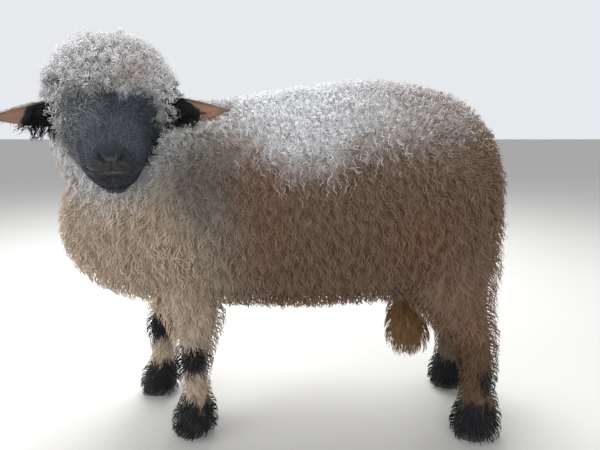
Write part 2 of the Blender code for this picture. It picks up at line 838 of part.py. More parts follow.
def ear_frame(side_name):
    """Root, and the directions out to the tip, along the ear's width and out of its cup."""
    forward, left, above = head_axes()
    side = 1 if side_name == "left" else -1
    droop = EAR_DROOP[side_name]
    out = (left * side * math.cos(droop) - Vector((0, 0, 1)) * math.sin(droop)).normalized()
    cup = forward * EAR_FACING[0] + above * EAR_FACING[1]
    cup = (cup - out * cup.dot(out)).normalized()
    width = out.cross(cup)
    if width.z < 0:
        width = -width
    return head_point(EAR_BACK, EAR_ROOT_ASIDE * side, EAR_UP), out, width, cup


def ear(side_name):
    """A leaf-shaped ear with an open cup, from a rounded root to a blunt tip."""
    root, out, width, cup = ear_frame(side_name)
    rings = []
    for step in range(EAR_STEPS + 1):
        share = step / EAR_STEPS
        growth = math.sin(math.pi / 2 * min(share / EAR_WIDEST, 1.0))
        swell = EAR_ROOT_SHARE + (1 - EAR_ROOT_SHARE) * growth
        taper = max(1 - share ** EAR_TIP_ROUND[0], 0.0) ** EAR_TIP_ROUND[1]
        half = max(EAR_HALF_WIDTH * swell * taper, EAR_LEAST_HALF)
        depth = EAR_CUP * (1 - 0.75 * share) * taper
        wall = EAR_WALL * (1.5 - 0.6 * share)
        middle = root + out * (EAR_LENGTH * share) - cup * (EAR_BACKWARD * share * share)
        outer = []
        inner = []
        for index in range(EAR_POINTS):
            turn = -1 + 2 * index / (EAR_POINTS - 1)
            across = half * math.sin(turn * math.pi / 2)
            hollow = depth * (1 - turn * turn)
            rim = wall * (0.30 + 0.70 * math.cos(turn * math.pi / 2))
            outer.append(middle + width * across - cup * (hollow + rim / 2))
            inner.append(middle + width * across - cup * (hollow - rim / 2))
        rings.append(outer + inner[::-1])
    return loft("ear_" + side_name, rings)


def ear_space(side_name, grow):
    """The block of space from an ear's root outwards, which the wool of the head leaves to the ear."""
    root, out, width, cup = ear_frame(side_name)
    turn = Matrix.Translation(root) @ Matrix((out, width, cup)).transposed().to_4x4()
    return block("ear_space", *grown(EAR_SPACE, grow), turn)


def ear_wool(side_name):
    """The core of the tuft round an ear's root."""
    root, out, width, cup = ear_frame(side_name)
    middle = root + out * (EAR_WOOL_HALF.x * 0.55) - cup * EAR_WOOL_BEHIND
    return ball("ear_wool_" + side_name, middle, (out, width, cup), EAR_WOOL_HALF, 10, 7)


def claw(name, x, y, side):
    """Half of a cloven hoof: flat sole on the floor, curved outer wall, toe a little pointed."""
    inner = y + side * CLAW_CLEFT / 2
    toe = x + CLAW_LENGTH / 2
    rings = []
    for level, shrink in CLAW_RINGS:
        height = level * (CLAW_HEIGHT - GAP)
        ring = []
        for index in range(CLAW_POINTS):
            turn = math.pi * index / (CLAW_POINTS - 1)
            along = math.cos(turn)
            point_x = x + along * CLAW_LENGTH / 2 * shrink
            bow = math.sin(turn) ** CLAW_FULLNESS * (1 - CLAW_TAPER * along)
            ring.append(Vector((point_x, inner + side * CLAW_WIDTH * bow * shrink, height)))
        ring[0].x = toe - (1 - shrink) * CLAW_TOE_SLOPE
        rings.append(ring)
    return loft(name, rings)


def foot_place(name):
    """Middle of a foot on the floor."""
    stations, _, y_floor = LEGS[name]
    return stations[-1][1] + CLAW_TOE_OUT, y_floor


def hoof_block(name, grow):
    """The space round the two claws of a foot, open to the floor and to the front."""
    x, y = foot_place(name)
    half = CLAW_WIDTH + CLAW_CLEFT / 2 + SOCKET_SIDE
    low = (x - CLAW_LENGTH / 2 - SOCKET_SIDE, y - half, -CLAW_HEIGHT)
    high = (x + CLAW_LENGTH, y + half, CLAW_HEIGHT)
    return block("hoof_space", [v - grow for v in low], [v + grow for v in high])


def half_space(name, point, normal, gap):
    """A large block whose face lies through a point, moved along the normal by gap."""
    normal = normal.normalized()
    turn = normal.to_track_quat("Z", "Y").to_matrix().to_4x4()
    matrix = Matrix.Translation(point + normal * gap) @ turn
    low, high = (-CUT_REACH, -CUT_REACH, 0.0), (CUT_REACH, CUT_REACH, CUT_REACH)
    return block(name, low, high, matrix)


def head_space(grow):
    """The space that the head takes out of the neck: a ball round the cap, and a block round the face."""
    axes = head_axes()
    room = HEAD_SPACE_ROOM + grow
    half = CAP_HALF + Vector((room, room, room))
    space = ball("head_space", head_point(CAP_BACK, 0.0, CAP_UP), axes, half, 16, 11)
    turn = Matrix.Translation(NOSE_TIP) @ Matrix(axes).transposed().to_4x4()
    return combined(space, [block("face_space", *grown(FACE_SPACE, grow), turn)], "UNION")


def leg_block(name, grow):
    """The space that a leg takes below the body."""
    low, high = FORE_BOX if "fore" in name else HIND_BOX
    low, high = Vector(low) - Vector((grow,) * 3), Vector(high) + Vector((grow,) * 3)
    if name.endswith("right"):
        low.y, high.y = -high.y, -low.y
    if "fore" in name:
        return block("leg_space", low, high)
    corner = Vector((high.x, 0, high.z))
    turn = Matrix.Rotation(HIND_BOX_TILT, 4, "Y")
    tilt = Matrix.Translation(corner) @ turn @ Matrix.Translation(-corner)
    return block("leg_space", low - HIND_BOX_SPARE, high, tilt)


def grown(box, grow):
    """Corners of a box grown on all sides."""
    low, high = box
    return [value - grow for value in low], [value + grow for value in high]


def build_cores():
    """Every core of the body, by name."""
    shrink = 1.0 if CLUMPED else 0.0
    made = [
        torso_core(BODY_STAND * shrink),
        neck_core(NECK_STAND * shrink),
        skull_core(),
        cap_core(CAP_STAND * shrink),
        hanging_core("tail", TAIL_STATIONS, TAIL_STAND * shrink),
        hanging_core("scrotum", SCROTUM_STATIONS, SCROTUM_STAND * shrink),
    ]
    made += [leg_core(name, CLUMPED) for name in LEGS]
    return {obj.name: obj for obj in made}


def whole_body():
    """All flesh and fleece fused into one closed body, with the forms of the face."""
    cores = build_cores()
    added, removed = face_forms(cores["skull_core"])
    pieces = clumps_over(body_coats(cores), cores) if CLUMPED else []
    body = cores.pop("torso_core")
    body.name = "whole"
    body = combined(body, list(cores.values()) + pieces + added, "UNION")
    return combined(body, removed, "DIFFERENCE")


def part_body(whole):
    """Parts the fused body into its named nodes, each clear of the next by the gap."""
    nodes = []
    for side in ("left", "right"):
        whole = combined(whole, [ear_space(side, GAP)], "DIFFERENCE")
    for name in LEGS:
        whole = combined(whole, [hoof_block(name, 0.0)], "DIFFERENCE")
    space = head_space(0.0)
    nodes.append(cropped(whole, "head", space))
    bpy.data.objects.remove(space)
    whole = combined(whole, [head_space(GAP)], "DIFFERENCE")
    neck_side = half_space("neck_side", NECK_CUT_POINT, NECK_CUT_NORMAL, GAP / 2)
    nodes.append(cropped(whole, "neck", neck_side))
    bpy.data.objects.remove(neck_side)
    cut = half_space("cut", NECK_CUT_POINT, NECK_CUT_NORMAL, -GAP / 2)
    whole = combined(whole, [cut], "DIFFERENCE")
    for name, box in (("tail", TAIL_BOX), ("scrotum", SCROTUM_BOX)):
        space = block("space", *grown(box, 0.0))
        nodes.append(cropped(whole, name, space))
        bpy.data.objects.remove(space)
        whole = combined(whole, [block("space", *grown(box, GAP))], "DIFFERENCE")
    for name in LEGS:
        space = leg_block(name, 0.0)
        nodes.append(cropped(whole, name, space))
        bpy.data.objects.remove(space)
    for name in LEGS:
        whole = combined(whole, [leg_block(name, GAP)], "DIFFERENCE")
    whole.name = "torso"
    nodes.append(whole)
    return nodes


def build_ears():
    """Both ears with the tuft round the root, inside the space that the head leaves them."""
    nodes = []
    for side in ("left", "right"):
        out = ear_frame(side)[1]
        core = ear_wool(side)
        coat = Coat(core, constant(EAR_WOOL_SPACING), constant(EAR_WOOL_STAND), ear_lie(out))
        tufts = clumps_over([coat], {core.name: core}) if CLUMPED else []
        node = combined(ear(side), [core] + tufts, "UNION")
        nodes.append(combined(node, [ear_space(side, 0.0)], "INTERSECT"))
    return nodes


def ear_lie(out):
    """Wool at an ear's root points out along the ear."""
    return lambda point, normal: along_surface(out, normal)


def build_eyes():
    """Both eyeballs."""
    nodes = []
    for name, side in (("eye_left", 1), ("eye_right", -1)):
        centre, level, rise, look = eye_frame(side)
        nodes.append(ball(name, centre, (level, rise, look), [EYE_RADIUS] * 3, 12, 8))
    return nodes


def build_claws():
    """Eight claws, an outer and an inner one on each foot."""
    nodes = []
    for leg in LEGS:
        x, y = foot_place(leg)
        foot = leg.replace("leg_", "claw_")
        for side in (1, -1):
            where = "outer" if side * y > 0 else "inner"
            nodes.append(claw(foot + "_" + where, x, y, side))
    return nodes


def dressed(obj, group):
    """Gives a node its material and its place in the animal's collection."""
    colour, roughness = COLOURS[obj.name.split("_")[0]]
    material = bpy.data.materials.new(obj.name)
    material.use_nodes = True
    shader = material.node_tree.nodes["Principled BSDF"]
    shader.inputs["Base Color"].default_value = (*colour, 1.0)
    shader.inputs["Roughness"].default_value = roughness
    obj.data.materials.clear()
    obj.data.materials.append(material)
    obj.location = FRAME_SHIFT
    for collection in list(obj.users_collection):
        collection.objects.unlink(obj)
    group.objects.link(obj)


def main():
    for obj in list(bpy.data.objects):
        bpy.data.objects.remove(obj)
    nodes = [simplified(node) for node in part_body(whole_body())]
    nodes += build_ears() + build_eyes() + build_claws()
    group = bpy.data.collections.new("blacknose_sheep")
    bpy.context.scene.collection.children.link(group)
    for node in nodes:
        dressed(node, group)


main()
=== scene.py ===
"""A young Valais blacknose ram in full fleece: skin, wool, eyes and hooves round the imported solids.

Sizes are metres. Everything is worked out in the body frame, whose middle plane is Y = 0, with +X forward and
+Y the animal's left. FRAME_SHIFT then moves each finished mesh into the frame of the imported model.
"""

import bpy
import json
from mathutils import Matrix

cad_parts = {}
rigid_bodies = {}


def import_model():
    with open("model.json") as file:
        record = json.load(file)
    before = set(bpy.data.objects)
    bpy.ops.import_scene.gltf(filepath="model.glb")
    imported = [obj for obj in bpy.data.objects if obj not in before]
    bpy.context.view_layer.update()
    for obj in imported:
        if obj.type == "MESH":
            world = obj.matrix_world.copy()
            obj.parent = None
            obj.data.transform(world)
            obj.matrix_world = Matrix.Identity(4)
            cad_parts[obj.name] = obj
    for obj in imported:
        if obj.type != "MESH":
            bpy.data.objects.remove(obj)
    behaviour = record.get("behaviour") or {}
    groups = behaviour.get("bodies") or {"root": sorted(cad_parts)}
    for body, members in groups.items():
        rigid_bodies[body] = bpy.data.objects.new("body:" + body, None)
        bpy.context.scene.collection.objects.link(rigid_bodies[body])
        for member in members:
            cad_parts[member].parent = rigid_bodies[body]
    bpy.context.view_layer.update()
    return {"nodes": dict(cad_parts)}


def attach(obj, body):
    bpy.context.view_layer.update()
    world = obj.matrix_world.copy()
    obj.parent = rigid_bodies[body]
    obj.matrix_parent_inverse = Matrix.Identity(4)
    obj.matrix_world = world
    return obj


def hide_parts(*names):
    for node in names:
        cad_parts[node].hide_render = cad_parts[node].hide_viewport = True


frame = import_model()

import json
import logging
import math
from dataclasses import dataclass
from enum import Enum
from typing import Any, Iterable, Sequence, Union

import bmesh
import bpy
import numpy as np
from mathutils import Matrix, Vector
from mathutils.bvhtree import BVHTree
from mathutils.kdtree import KDTree

log = logging.getLogger("blacknose")

FRAME_SHIFT = np.array((0.0064, -0.0366, 0.0))
ROOT = "root"
UP = np.array((0.0, 0.0, 1.0))
Colour = tuple[float, float, float]
Rows = tuple[tuple[float, ...], ...]


class Part(Enum):
    """The parts of the animal that differ in their coat."""

    TORSO = 0
    NECK = 1
    SKULL = 2
    CAP = 3
    FORE_LEFT = 4
    FORE_RIGHT = 5
    HIND_LEFT = 6
    HIND_RIGHT = 7
    TAIL = 8
    SCROTUM = 9
    EAR_LEFT = 10
    EAR_RIGHT = 11


FORE_PARTS = (Part.FORE_LEFT, Part.FORE_RIGHT)
HIND_PARTS = (Part.HIND_LEFT, Part.HIND_RIGHT)
LEG_PARTS = FORE_PARTS + HIND_PARTS
EAR_PARTS = (Part.EAR_LEFT, Part.EAR_RIGHT)
HEAD_PARTS = (Part.SKULL, Part.CAP)


def among(values: np.ndarray, parts: Iterable[Part]) -> np.ndarray:
    """Whether each value is that of one of some parts."""
    return np.isin(values, [part.value for part in parts])


def unit(vectors: np.ndarray) -> np.ndarray:
    """Vectors of length one along the last axis."""
    return vectors / np.maximum(np.linalg.norm(vectors, axis=-1, keepdims=True), 1e-9)


def smoothstep(low: float, high: float, values: np.ndarray) -> np.ndarray:
    """0 below low, 1 above high and a smooth rise between; the other way round where low is the larger."""
    share = np.clip((values - low) / (high - low), 0.0, 1.0)
    return share * share * (3 - 2 * share)


def drift(points: np.ndarray, size: float, seed: int) -> np.ndarray:
    """A slow wandering value, the same on every run.

    Args:
        points: places, one a row.
        size: how far across its patches are.
        seed: the seed of its pattern.

    Returns:
        A value between about -1 and 1 for each point.
    """
    draw = np.random.default_rng(seed)
    waves = unit(draw.normal(size=(7, 3))) * (math.pi / size) * draw.uniform(0.6, 1.5, (7, 1))
    phases = draw.uniform(0, 2 * math.pi, 7)
    return np.sin(points @ waves.T + phases).sum(-1) / 3.2


def smooth_rows(stations: Rows, steps: int) -> np.ndarray:
    """Rows on a smooth curve through stations.

    Args:
        stations: rows of numbers, in order along the form.
        steps: rows made for each stretch between two stations.

    Returns:
        The rows, ending with the last station.
    """
    rows = np.array(stations, float)
    padded = np.vstack((2 * rows[0] - rows[1], rows, 2 * rows[-1] - rows[-2]))
    out = []
    for index in range(len(rows) - 1):
        before, start, end, after = padded[index : index + 4]
        for t in np.arange(steps) / steps:
            bend = (2 * before - 5 * start + 4 * end - after) * t * t
            twist = (3 * start - before - 3 * end + after) * t**3
            out.append(0.5 * (2 * start + (end - before) * t + bend + twist))
    out.append(rows[-1])
    return np.array(out)


def oval(centre: np.ndarray, side: np.ndarray, rise: np.ndarray, halves: Sequence[float],
         sides: int, power: float = 1.0) -> np.ndarray:
    """One ring of points.

    Args:
        centre: its middle.
        side: unit vector across.
        rise: unit vector upwards.
        halves: half size across, upwards and downwards.
        sides: number of points.
        power: 1 for an oval, less for a squarer one.

    Returns:
        The points, one a row.
    """
    turn = 2 * math.pi * (np.arange(sides) + 0.5) / sides
    across = np.sign(np.cos(turn)) * np.abs(np.cos(turn)) ** power
    along = np.sign(np.sin(turn)) * np.abs(np.sin(turn)) ** power
    reach = np.where(along > 0, halves[1], halves[2])
    return centre + np.outer(halves[0] * across, side) + np.outer(reach * along, rise)


def link(obj: bpy.types.Object) -> bpy.types.Object:
    """Puts an object in the scene."""
    bpy.context.scene.collection.objects.link(obj)
    return obj


def object_of(name: str, mesh: bmesh.types.BMesh) -> bpy.types.Object:
    """An object of a bmesh, which is freed.

    Args:
        name: the object's name.
        mesh: the bmesh.

    Returns:
        The object, in the scene.
    """
    data = bpy.data.meshes.new(name)
    mesh.to_mesh(data)
    mesh.free()
    return link(bpy.data.objects.new(name, data))


def closed_object(name: str, mesh: bmesh.types.BMesh) -> bpy.types.Object:
    """An object of a closed bmesh, with its faces pointing out. The bmesh is freed.

    Args:
        name: the object's name.
        mesh: the bmesh.

    Returns:
        The object, in the scene.
    """
    bmesh.ops.recalc_face_normals(mesh, faces=mesh.faces)
    if mesh.calc_volume(signed=True) < 0:
        bmesh.ops.reverse_faces(mesh, faces=mesh.faces)
    return object_of(name, mesh)


def bmesh_of(obj: bpy.types.Object) -> bmesh.types.BMesh:
    """A bmesh of an object."""
    mesh = bmesh.new()
    mesh.from_mesh(obj.data)
    return mesh


def loft(name: str, rings: Sequence[np.ndarray]) -> bpy.types.Object:
    """A closed object through rings, with a point at the middle of each end.

    Args:
        name: the object's name.
        rings: rings of points, each with the same count.

    Returns:
        The object.
    """
    mesh = bmesh.new()
    rows = [[mesh.verts.new(point) for point in ring] for ring in rings]
    count = len(rows[0])
    for row, after in zip(rows, rows[1:]):
        for index in range(count):
            other = (index + 1) % count
            mesh.faces.new((row[index], row[other], after[other], after[index]))
    for row, ring in ((rows[0], rings[0]), (rows[-1], rings[-1])):
        pole = mesh.verts.new(np.mean(ring, axis=0))
        for index in range(count):
            mesh.faces.new((row[index], row[(index + 1) % count], pole))
    return closed_object(name, mesh)


def ball(name: str, centre: np.ndarray, axes: Sequence[np.ndarray], halves: Sequence[float],
         sides: int = 32, rings: int = 20) -> bpy.types.Object:
    """An ellipsoid.

    Args:
        name: the object's name.
        centre: its middle.
        axes: three directions.
        halves: its half size along each.
        sides: faces round it.
        rings: faces from pole to pole.

    Returns:
        The object.
    """
    mesh = bmesh.new()
    bmesh.ops.create_uvsphere(mesh, u_segments=sides, v_segments=rings, radius=1.0)
    stretch = np.array([axis * half for axis, half in zip(axes, halves)])
    for vert in mesh.verts:
        vert.co = centre + np.array(vert.co) @ stretch
    return closed_object(name, mesh)


def tube(name: str, points: Sequence[np.ndarray], radii: Union[float, Sequence[float]],
         sides: int = 12) -> bpy.types.Object:
    """A round closed tube.

    Args:
        name: the object's name.
        points: its middle line.
        radii: its radius, or one for each point.
        sides: faces round it.

    Returns:
        The object.
    """
    path = np.array(points, float)
    sizes = np.broadcast_to(np.asarray(radii, float), (len(path),))
    along = unit(np.gradient(path, axis=0))
    normal = unit(np.cross(along[0], UP + 0.01))
    rings = []
    for place, way, size in zip(path, along, sizes):
        normal = unit(normal - way * (normal @ way))
        rings.append(oval(place, normal, np.cross(way, normal), (size, size, size), sides))
    return loft(name, rings)


def shown_copy(obj: bpy.types.Object, name: str) -> bpy.types.Object:
    """Makes a plain mesh of what an object shows with its modifiers.

    Args:
        obj: the object, which is removed.
        name: the result's name.

    Returns:
        The plain object.
    """
    bpy.context.view_layer.update()
    graph = bpy.context.evaluated_depsgraph_get()
    data = bpy.data.meshes.new_from_object(obj.evaluated_get(graph))
    bpy.data.objects.remove(obj)
    return link(bpy.data.objects.new(name, data))


def joined(name: str, objects: Iterable[bpy.types.Object]) -> bpy.types.Object:
    """Puts several meshes side by side in one object.

    Args:
        name: the object's name.
        objects: the objects, which are removed.

    Returns:
        The one object.
    """
    mesh = bmesh.new()
    for obj in list(objects):
        mesh.from_mesh(obj.data)
        bpy.data.objects.remove(obj)
    return object_of(name, mesh)


def combined(obj: bpy.types.Object, others: Sequence[bpy.types.Object],
             operation: str) -> bpy.types.Object:
    """An object joined with or cut by others, which are removed.

    Args:
        obj: the object, which the result replaces.
        others: what joins or cuts it.
        operation: UNION or DIFFERENCE.

    Returns:
        The result.
    """
    group = bpy.data.collections.new("fitting")
    bpy.context.scene.collection.children.link(group)
    for other in others:
        group.objects.link(other)
    modifier = obj.modifiers.new("fit", "BOOLEAN")
    modifier.operation = operation
    modifier.solver = "MANIFOLD"
    modifier.operand_type = "COLLECTION"
    modifier.collection = group
    result = shown_copy(obj, obj.name)
    for other in list(group.objects):
        bpy.data.objects.remove(other)
    bpy.data.collections.remove(group)
    return result


def remeshed(obj: bpy.types.Object, voxel: float, smoothing: int) -> bpy.types.Object:
    """An object's outer surface with even faces.

    Args:
        obj: the object, which the result replaces.
        voxel: the size of the new faces.
        smoothing: how many times they are relaxed.

    Returns:
        The result.
    """
    remesh = obj.modifiers.new("even", "REMESH")
    remesh.mode = "VOXEL"
    remesh.voxel_size = voxel
    remesh.adaptivity = 0.0
    relax = obj.modifiers.new("relax", "SMOOTH")
    relax.factor = 0.5
    relax.iterations = smoothing
    return shown_copy(obj, obj.name)


def tree_of(obj: bpy.types.Object) -> BVHTree:
    """A search tree over an object's faces."""
    mesh = bmesh_of(obj)
    tree = BVHTree.FromBMesh(mesh)
    mesh.free()
    return tree


def search_tree(points: np.ndarray) -> KDTree:
    """A tree that finds the nearest of some points."""
    tree = KDTree(len(points))
    for index, point in enumerate(points):
        tree.insert(point, index)
    tree.balance()
    return tree


def numbers_of(items: Any, key: str, width: int = 1, kind: type = np.float32) -> np.ndarray:
    """What each item of a mesh holds under a key.

    Args:
        items: points, corners or other items of the mesh, or of an attribute.
        key: the name of what is read.
        width: how many numbers each item holds there.
        kind: their kind.

    Returns:
        A number for each item, or a row of them.
    """
    flat = np.empty(len(items) * width, kind)
    items.foreach_get(key, flat)
    return flat.reshape(-1, width) if width > 1 else flat


def points_of(data: bpy.types.Mesh) -> np.ndarray:
    """The places of a mesh's points."""
    return numbers_of(data.vertices, "co", 3).astype(float)


def normals_of(data: bpy.types.Mesh) -> np.ndarray:
    """The outward directions at a mesh's points."""
    return numbers_of(data.vertices, "normal", 3).astype(float)


def store(data: bpy.types.Mesh, name: str, rows: np.ndarray) -> None:
    """Keeps a vector for each point of a mesh as a named attribute."""
    attribute = data.attributes.new(name, "FLOAT_VECTOR", "POINT")
    attribute.data.foreach_set("vector", np.ascontiguousarray(rows, np.float32).ravel())


def add_bake_map(data: bpy.types.Mesh, places: np.ndarray) -> None:
    """Gives a mesh the UV map OFBake, from a place for each of its points."""
    layer = data.uv_layers.new(name="OFBake")
    corners = numbers_of(data.loops, "vertex_index", 1, np.int32)
    layer.data.foreach_set("uv", places[corners].astype(np.float32).ravel())


class Signal:
    """A value on its way through a material: arithmetic on it adds Math nodes."""

    def __init__(self, chart: "Chart", source: Any) -> None:
        """Args:
            chart: the node tree being built.
            source: the socket that the value comes from.
        """
        self.chart = chart
        self.source = source

    def maths(self, operation: str, *others: Any) -> "Signal":
        """One Math node with this value first."""
        return self.chart.node("ShaderNodeMath", {"operation": operation}, dict(enumerate((self, *others))))

    def __add__(self, other: Any) -> "Signal":
        """Sum."""
        return self.maths("ADD", other)

    __radd__ = __add__

    def __mul__(self, other: Any) -> "Signal":
        """Product."""
        return self.maths("MULTIPLY", other)

    __rmul__ = __mul__

    def __sub__(self, other: Any) -> "Signal":
        """Difference."""
        return self.maths("SUBTRACT", other)

    def __rsub__(self, other: Any) -> "Signal":
        """Difference with this value taken away."""
        return self.maths("MULTIPLY", -1.0).maths("ADD", other)

    def __pow__(self, other: Any) -> "Signal":
        """Power."""
        return self.maths("POWER", other)

    def between(self, low: float, high: float, start: float = 0.0, end: float = 1.0) -> "Signal":
        """A smooth rise along the value.

        Args:
            low: where the rise begins.
            high: where it ends.
            start: the result up to low.
            end: the result from high on.

        Returns:
            The result as a signal.
        """
        return self.chart.node(
            "ShaderNodeMapRange",
            {"interpolation_type": "SMOOTHSTEP"},
            {0: self, 1: low, 2: high, 3: start, 4: end},
        )


class Chart:
    """A node tree under construction."""

    def __init__(self, tree: bpy.types.NodeTree) -> None:
        """Takes the tree that nodes are added to."""
        self.tree = tree

    @staticmethod
    def socket(sockets: Any, key: Union[int, str]) -> Any:
        """A socket by its number, or the one in use by its name."""
        if isinstance(key, int):
            return sockets[key]
        return next(socket for socket in sockets if socket.name == key and socket.enabled)

    def node(self, kind: str, settings: dict[str, Any], inputs: dict[Any, Any],
             output: Union[int, str] = 0) -> Signal:
        """Adds a node.

        Args:
            kind: the node's type.
            settings: its settings, made first.
            inputs: a value or a signal for each input, by number or name.
            output: the output that is handed on, by number or name.

        Returns:
            The chosen output as a signal.
        """
        made = self.tree.nodes.new(kind)
        for key, value in settings.items():
            setattr(made, key, value)
        for key, value in inputs.items():
            self.feed(self.socket(made.inputs, key), value)
        return Signal(self, self.socket(made.outputs, output))

    def feed(self, socket: bpy.types.NodeSocket, value: Any) -> None:
        """Links a signal to a socket, or sets the socket's own value.

        Args:
            socket: the input.
            value: a signal, a colour or another value.
        """
        if isinstance(value, Signal):
            self.tree.links.new(value.source, socket)
        elif isinstance(value, tuple) and socket.type == "RGBA":
            socket.default_value = (*value, 1.0)
        else:
            socket.default_value = value


class Paint(Chart):
    """A material under construction."""

    def __init__(self, name: str) -> None:
        """Starts a material with one Principled shader.

        Args:
            name: the material's name.
        """
        self.material = bpy.data.materials.new(name)
        self.material.use_nodes = True
        super().__init__(self.material.node_tree)
        self.shader = self.tree.nodes["Principled BSDF"]
        self.output = self.tree.nodes["Material Output"]

    def mix(self, factor: Any, first: Any, second: Any, blend: str = "MIX") -> Signal:
        """A mix of two colours."""
        settings = {"data_type": "RGBA", "blend_type": blend}
        return self.node("ShaderNodeMix", settings, {0: factor, 6: first, 7: second}, 2)

    def attribute(self, name: str) -> tuple[Signal, Signal, Signal]:
        """The three numbers of a named vector that the mesh carries."""
        vector = self.node("ShaderNodeAttribute", {"attribute_name": name}, {}, "Vector")
        first = self.node("ShaderNodeSeparateXYZ", {}, {0: vector})
        return tuple(Signal(self, socket) for socket in first.source.node.outputs)

    def place(self) -> Signal:
        """The point's place on the piece."""
        return self.node("ShaderNodeTexCoord", {}, {}, "Object")

    def noise(self, scale: float, detail: float = 3.0, roughness: float = 0.55) -> Signal:
        """Cloudy noise over the piece, from 0 to 1."""
        inputs = {"Vector": self.place(), "Scale": scale, "Detail": detail, "Roughness": roughness}
        return self.node("ShaderNodeTexNoise", {}, inputs, 0)

    def bump(self, height: Signal, distance: float, strength: float = 1.0) -> Signal:
        """A bump of the surface, for the shader's Normal."""
        inputs = {"Height": height, "Distance": distance, "Strength": strength}
        return self.node("ShaderNodeBump", {}, inputs)

    def shaded(self, colour: Signal, shade: Signal) -> Signal:
        """A colour made darker or lighter by a value."""
        level = self.node("ShaderNodeCombineColor", {}, {0: shade, 1: shade, 2: shade})
        return self.mix(1.0, colour, level, "MULTIPLY")

    def set(self, **values: Any) -> None:
        """Feeds the shader's sockets, named with underscores for spaces."""
        for key, value in values.items():
            self.feed(self.shader.inputs[key.replace("_", " ")], value)

    def glow_through(self, colour: Signal, share: float) -> None:
        """Lets a share of the light shine through, as fibres do."""
        leaf = self.node("ShaderNodeBsdfTranslucent", {}, {"Color": colour})
        shader = Signal(self, self.shader.outputs[0])
        self.feed(self.output.inputs[0], self.node("ShaderNodeMixShader", {}, {0: share, 1: shader, 2: leaf}))


@dataclass(frozen=True)
class WoolFinish:
    """Colours of the fleece, which skin and coat share."""

    flank: Colour = (0.32, 0.215, 0.145)
    warm: Colour = (0.345, 0.200, 0.130)
    grey: Colour = (0.305, 0.278, 0.230)
    pale: Colour = (0.72, 0.59, 0.46)
    white: Colour = (0.86, 0.86, 0.87)
    gold: Colour = (0.34, 0.19, 0.075)
    black: Colour = (0.0075, 0.0085, 0.0110)
    # Painted sheen: the blue-grey that the black face shows where light glances off its hair.
    slate_sheen: Colour = (0.125, 0.145, 0.180)
    bare: Colour = (0.0130, 0.0135, 0.0160)
    ear: Colour = (0.36, 0.20, 0.14)
    ear_edge: Colour = (0.13, 0.075, 0.055)
    glow: float = 0.38
    sheen: float = 0.07

    def colour(self, paint: Paint) -> Signal:
        """The coat's colour at a point, from the tones that the mesh carries.

        Args:
            paint: the material being built.

        Returns:
            The colour before any shading from root to tip.
        """
        black, white, warm = paint.attribute("marks")
        grey, pale, gold = paint.attribute("tones")
        bare, ear, _ = paint.attribute("skin")
        slate_sheen, edge, tan = paint.attribute("veil")
        colour = paint.mix(warm, self.flank, self.warm)
        for share, tone in ((grey, self.grey), (pale, self.pale), (white, self.white), (gold, self.gold)):
            colour = paint.mix(share, colour, tone)
        colour = paint.mix(tan, colour, self.gold)
        dark = paint.mix(slate_sheen, self.black, self.slate_sheen)
        naked = paint.mix(edge, self.ear, self.ear_edge)
        for share, tone in ((black, dark), (ear, naked), (bare, self.bare)):
            colour = paint.mix(share, colour, tone)
        return colour

    def coat(self) -> bpy.types.Material:
        """The wool of the locks: darker at the roots and lighter at the tips as painted shade, with light
        shining through.

        Returns:
            The material.
        """
        paint = Paint("fleece_locks")
        along, shade, _ = paint.attribute("growth")
        colour = self.colour(paint)
        # Painted shade: each strand darkens towards its root, where the coat shades itself; the lock's shade
        # is a tone that differs at random.
        depth = along.between(0.0, 0.75, 0.66, 1.03) * shade.between(0.0, 1.0, 0.91, 1.07)
        colour = paint.shaded(colour, depth)
        paint.set(Base_Color=colour, Roughness=0.86, Sheen_Weight=self.sheen, Sheen_Roughness=0.5)
        paint.set(Specular_IOR_Level=0.15)
        paint.glow_through(colour, self.glow)
        return paint.material

    def skin(self) -> bpy.types.Material:
        """Skin and felted underwool between the locks, darkened with painted shade where wool covers it, with
        bare skin on nose, lips and in the ears.

        Returns:
            The material.
        """
        paint = Paint("skin_and_underwool")
        bare, ear, wet = paint.attribute("skin")
        colour = self.colour(paint)
        naked = (bare + ear).between(0.0, 1.0)
        fine = paint.noise(420.0, 2.0)
        curls = paint.noise(160.0, 4.0, 0.7)
        # Painted shade: where wool grows, the skin is darkened to about 0.6 of the coat's colour, with darker
        # gaps between the curls, so that it looks like wool deep in the shade of the locks.
        shade = (1.0 - naked) * (curls * 0.5 - 0.17) + fine * 0.25 + naked * 0.2 + 0.42
        colour = paint.shaded(colour, shade)
        pores = paint.node("ShaderNodeTexVoronoi", {}, {"Vector": paint.place(), "Scale": 900.0}, 0)
        height = (1.0 - naked) * curls * 2.4 + naked * pores * 0.14 + fine * 0.20
        paint.set(Base_Color=colour, Normal=paint.bump(height, 0.0016, 0.8))
        paint.set(Roughness=0.9 - naked * 0.35 - wet * 0.38, Sheen_Weight=0.15)
        paint.set(Specular_IOR_Level=0.4)
        return paint.material


@dataclass(frozen=True)
class EyeFinish:
    """A sheep's eye: dark brown iris, a level slot of a pupil and a wet gloss."""

    iris_inner: Colour = (0.055, 0.027, 0.011)
    iris_outer: Colour = (0.020, 0.010, 0.006)
    pupil: Colour = (0.002, 0.002, 0.003)
    white: Colour = (0.05, 0.032, 0.026)

    def material(self) -> bpy.types.Material:
        """The eye's material. The mesh carries each point's place along, across and out of the lids.

        Returns:
            The material.
        """
        paint = Paint("eyeball")
        level, rise, _ = paint.attribute("gaze")
        ring = (level * level + rise * rise) ** 0.5
        slot = ((level * 0.52) ** 2.0 + (rise * 1.55) ** 2.0) ** 0.5
        rays = paint.noise(900.0, 2.0)
        iris = paint.mix(ring.between(0.25, 0.72), self.iris_inner, self.iris_outer)
        iris = paint.mix(rays * 0.5, iris, self.iris_outer)
        colour = paint.mix(slot.between(0.27, 0.33), self.pupil, iris)
        colour = paint.mix(ring.between(0.74, 0.86), colour, self.white)
        paint.set(Base_Color=colour, Roughness=0.06, Coat_Weight=1.0, Coat_Roughness=0.02)
        return paint.material


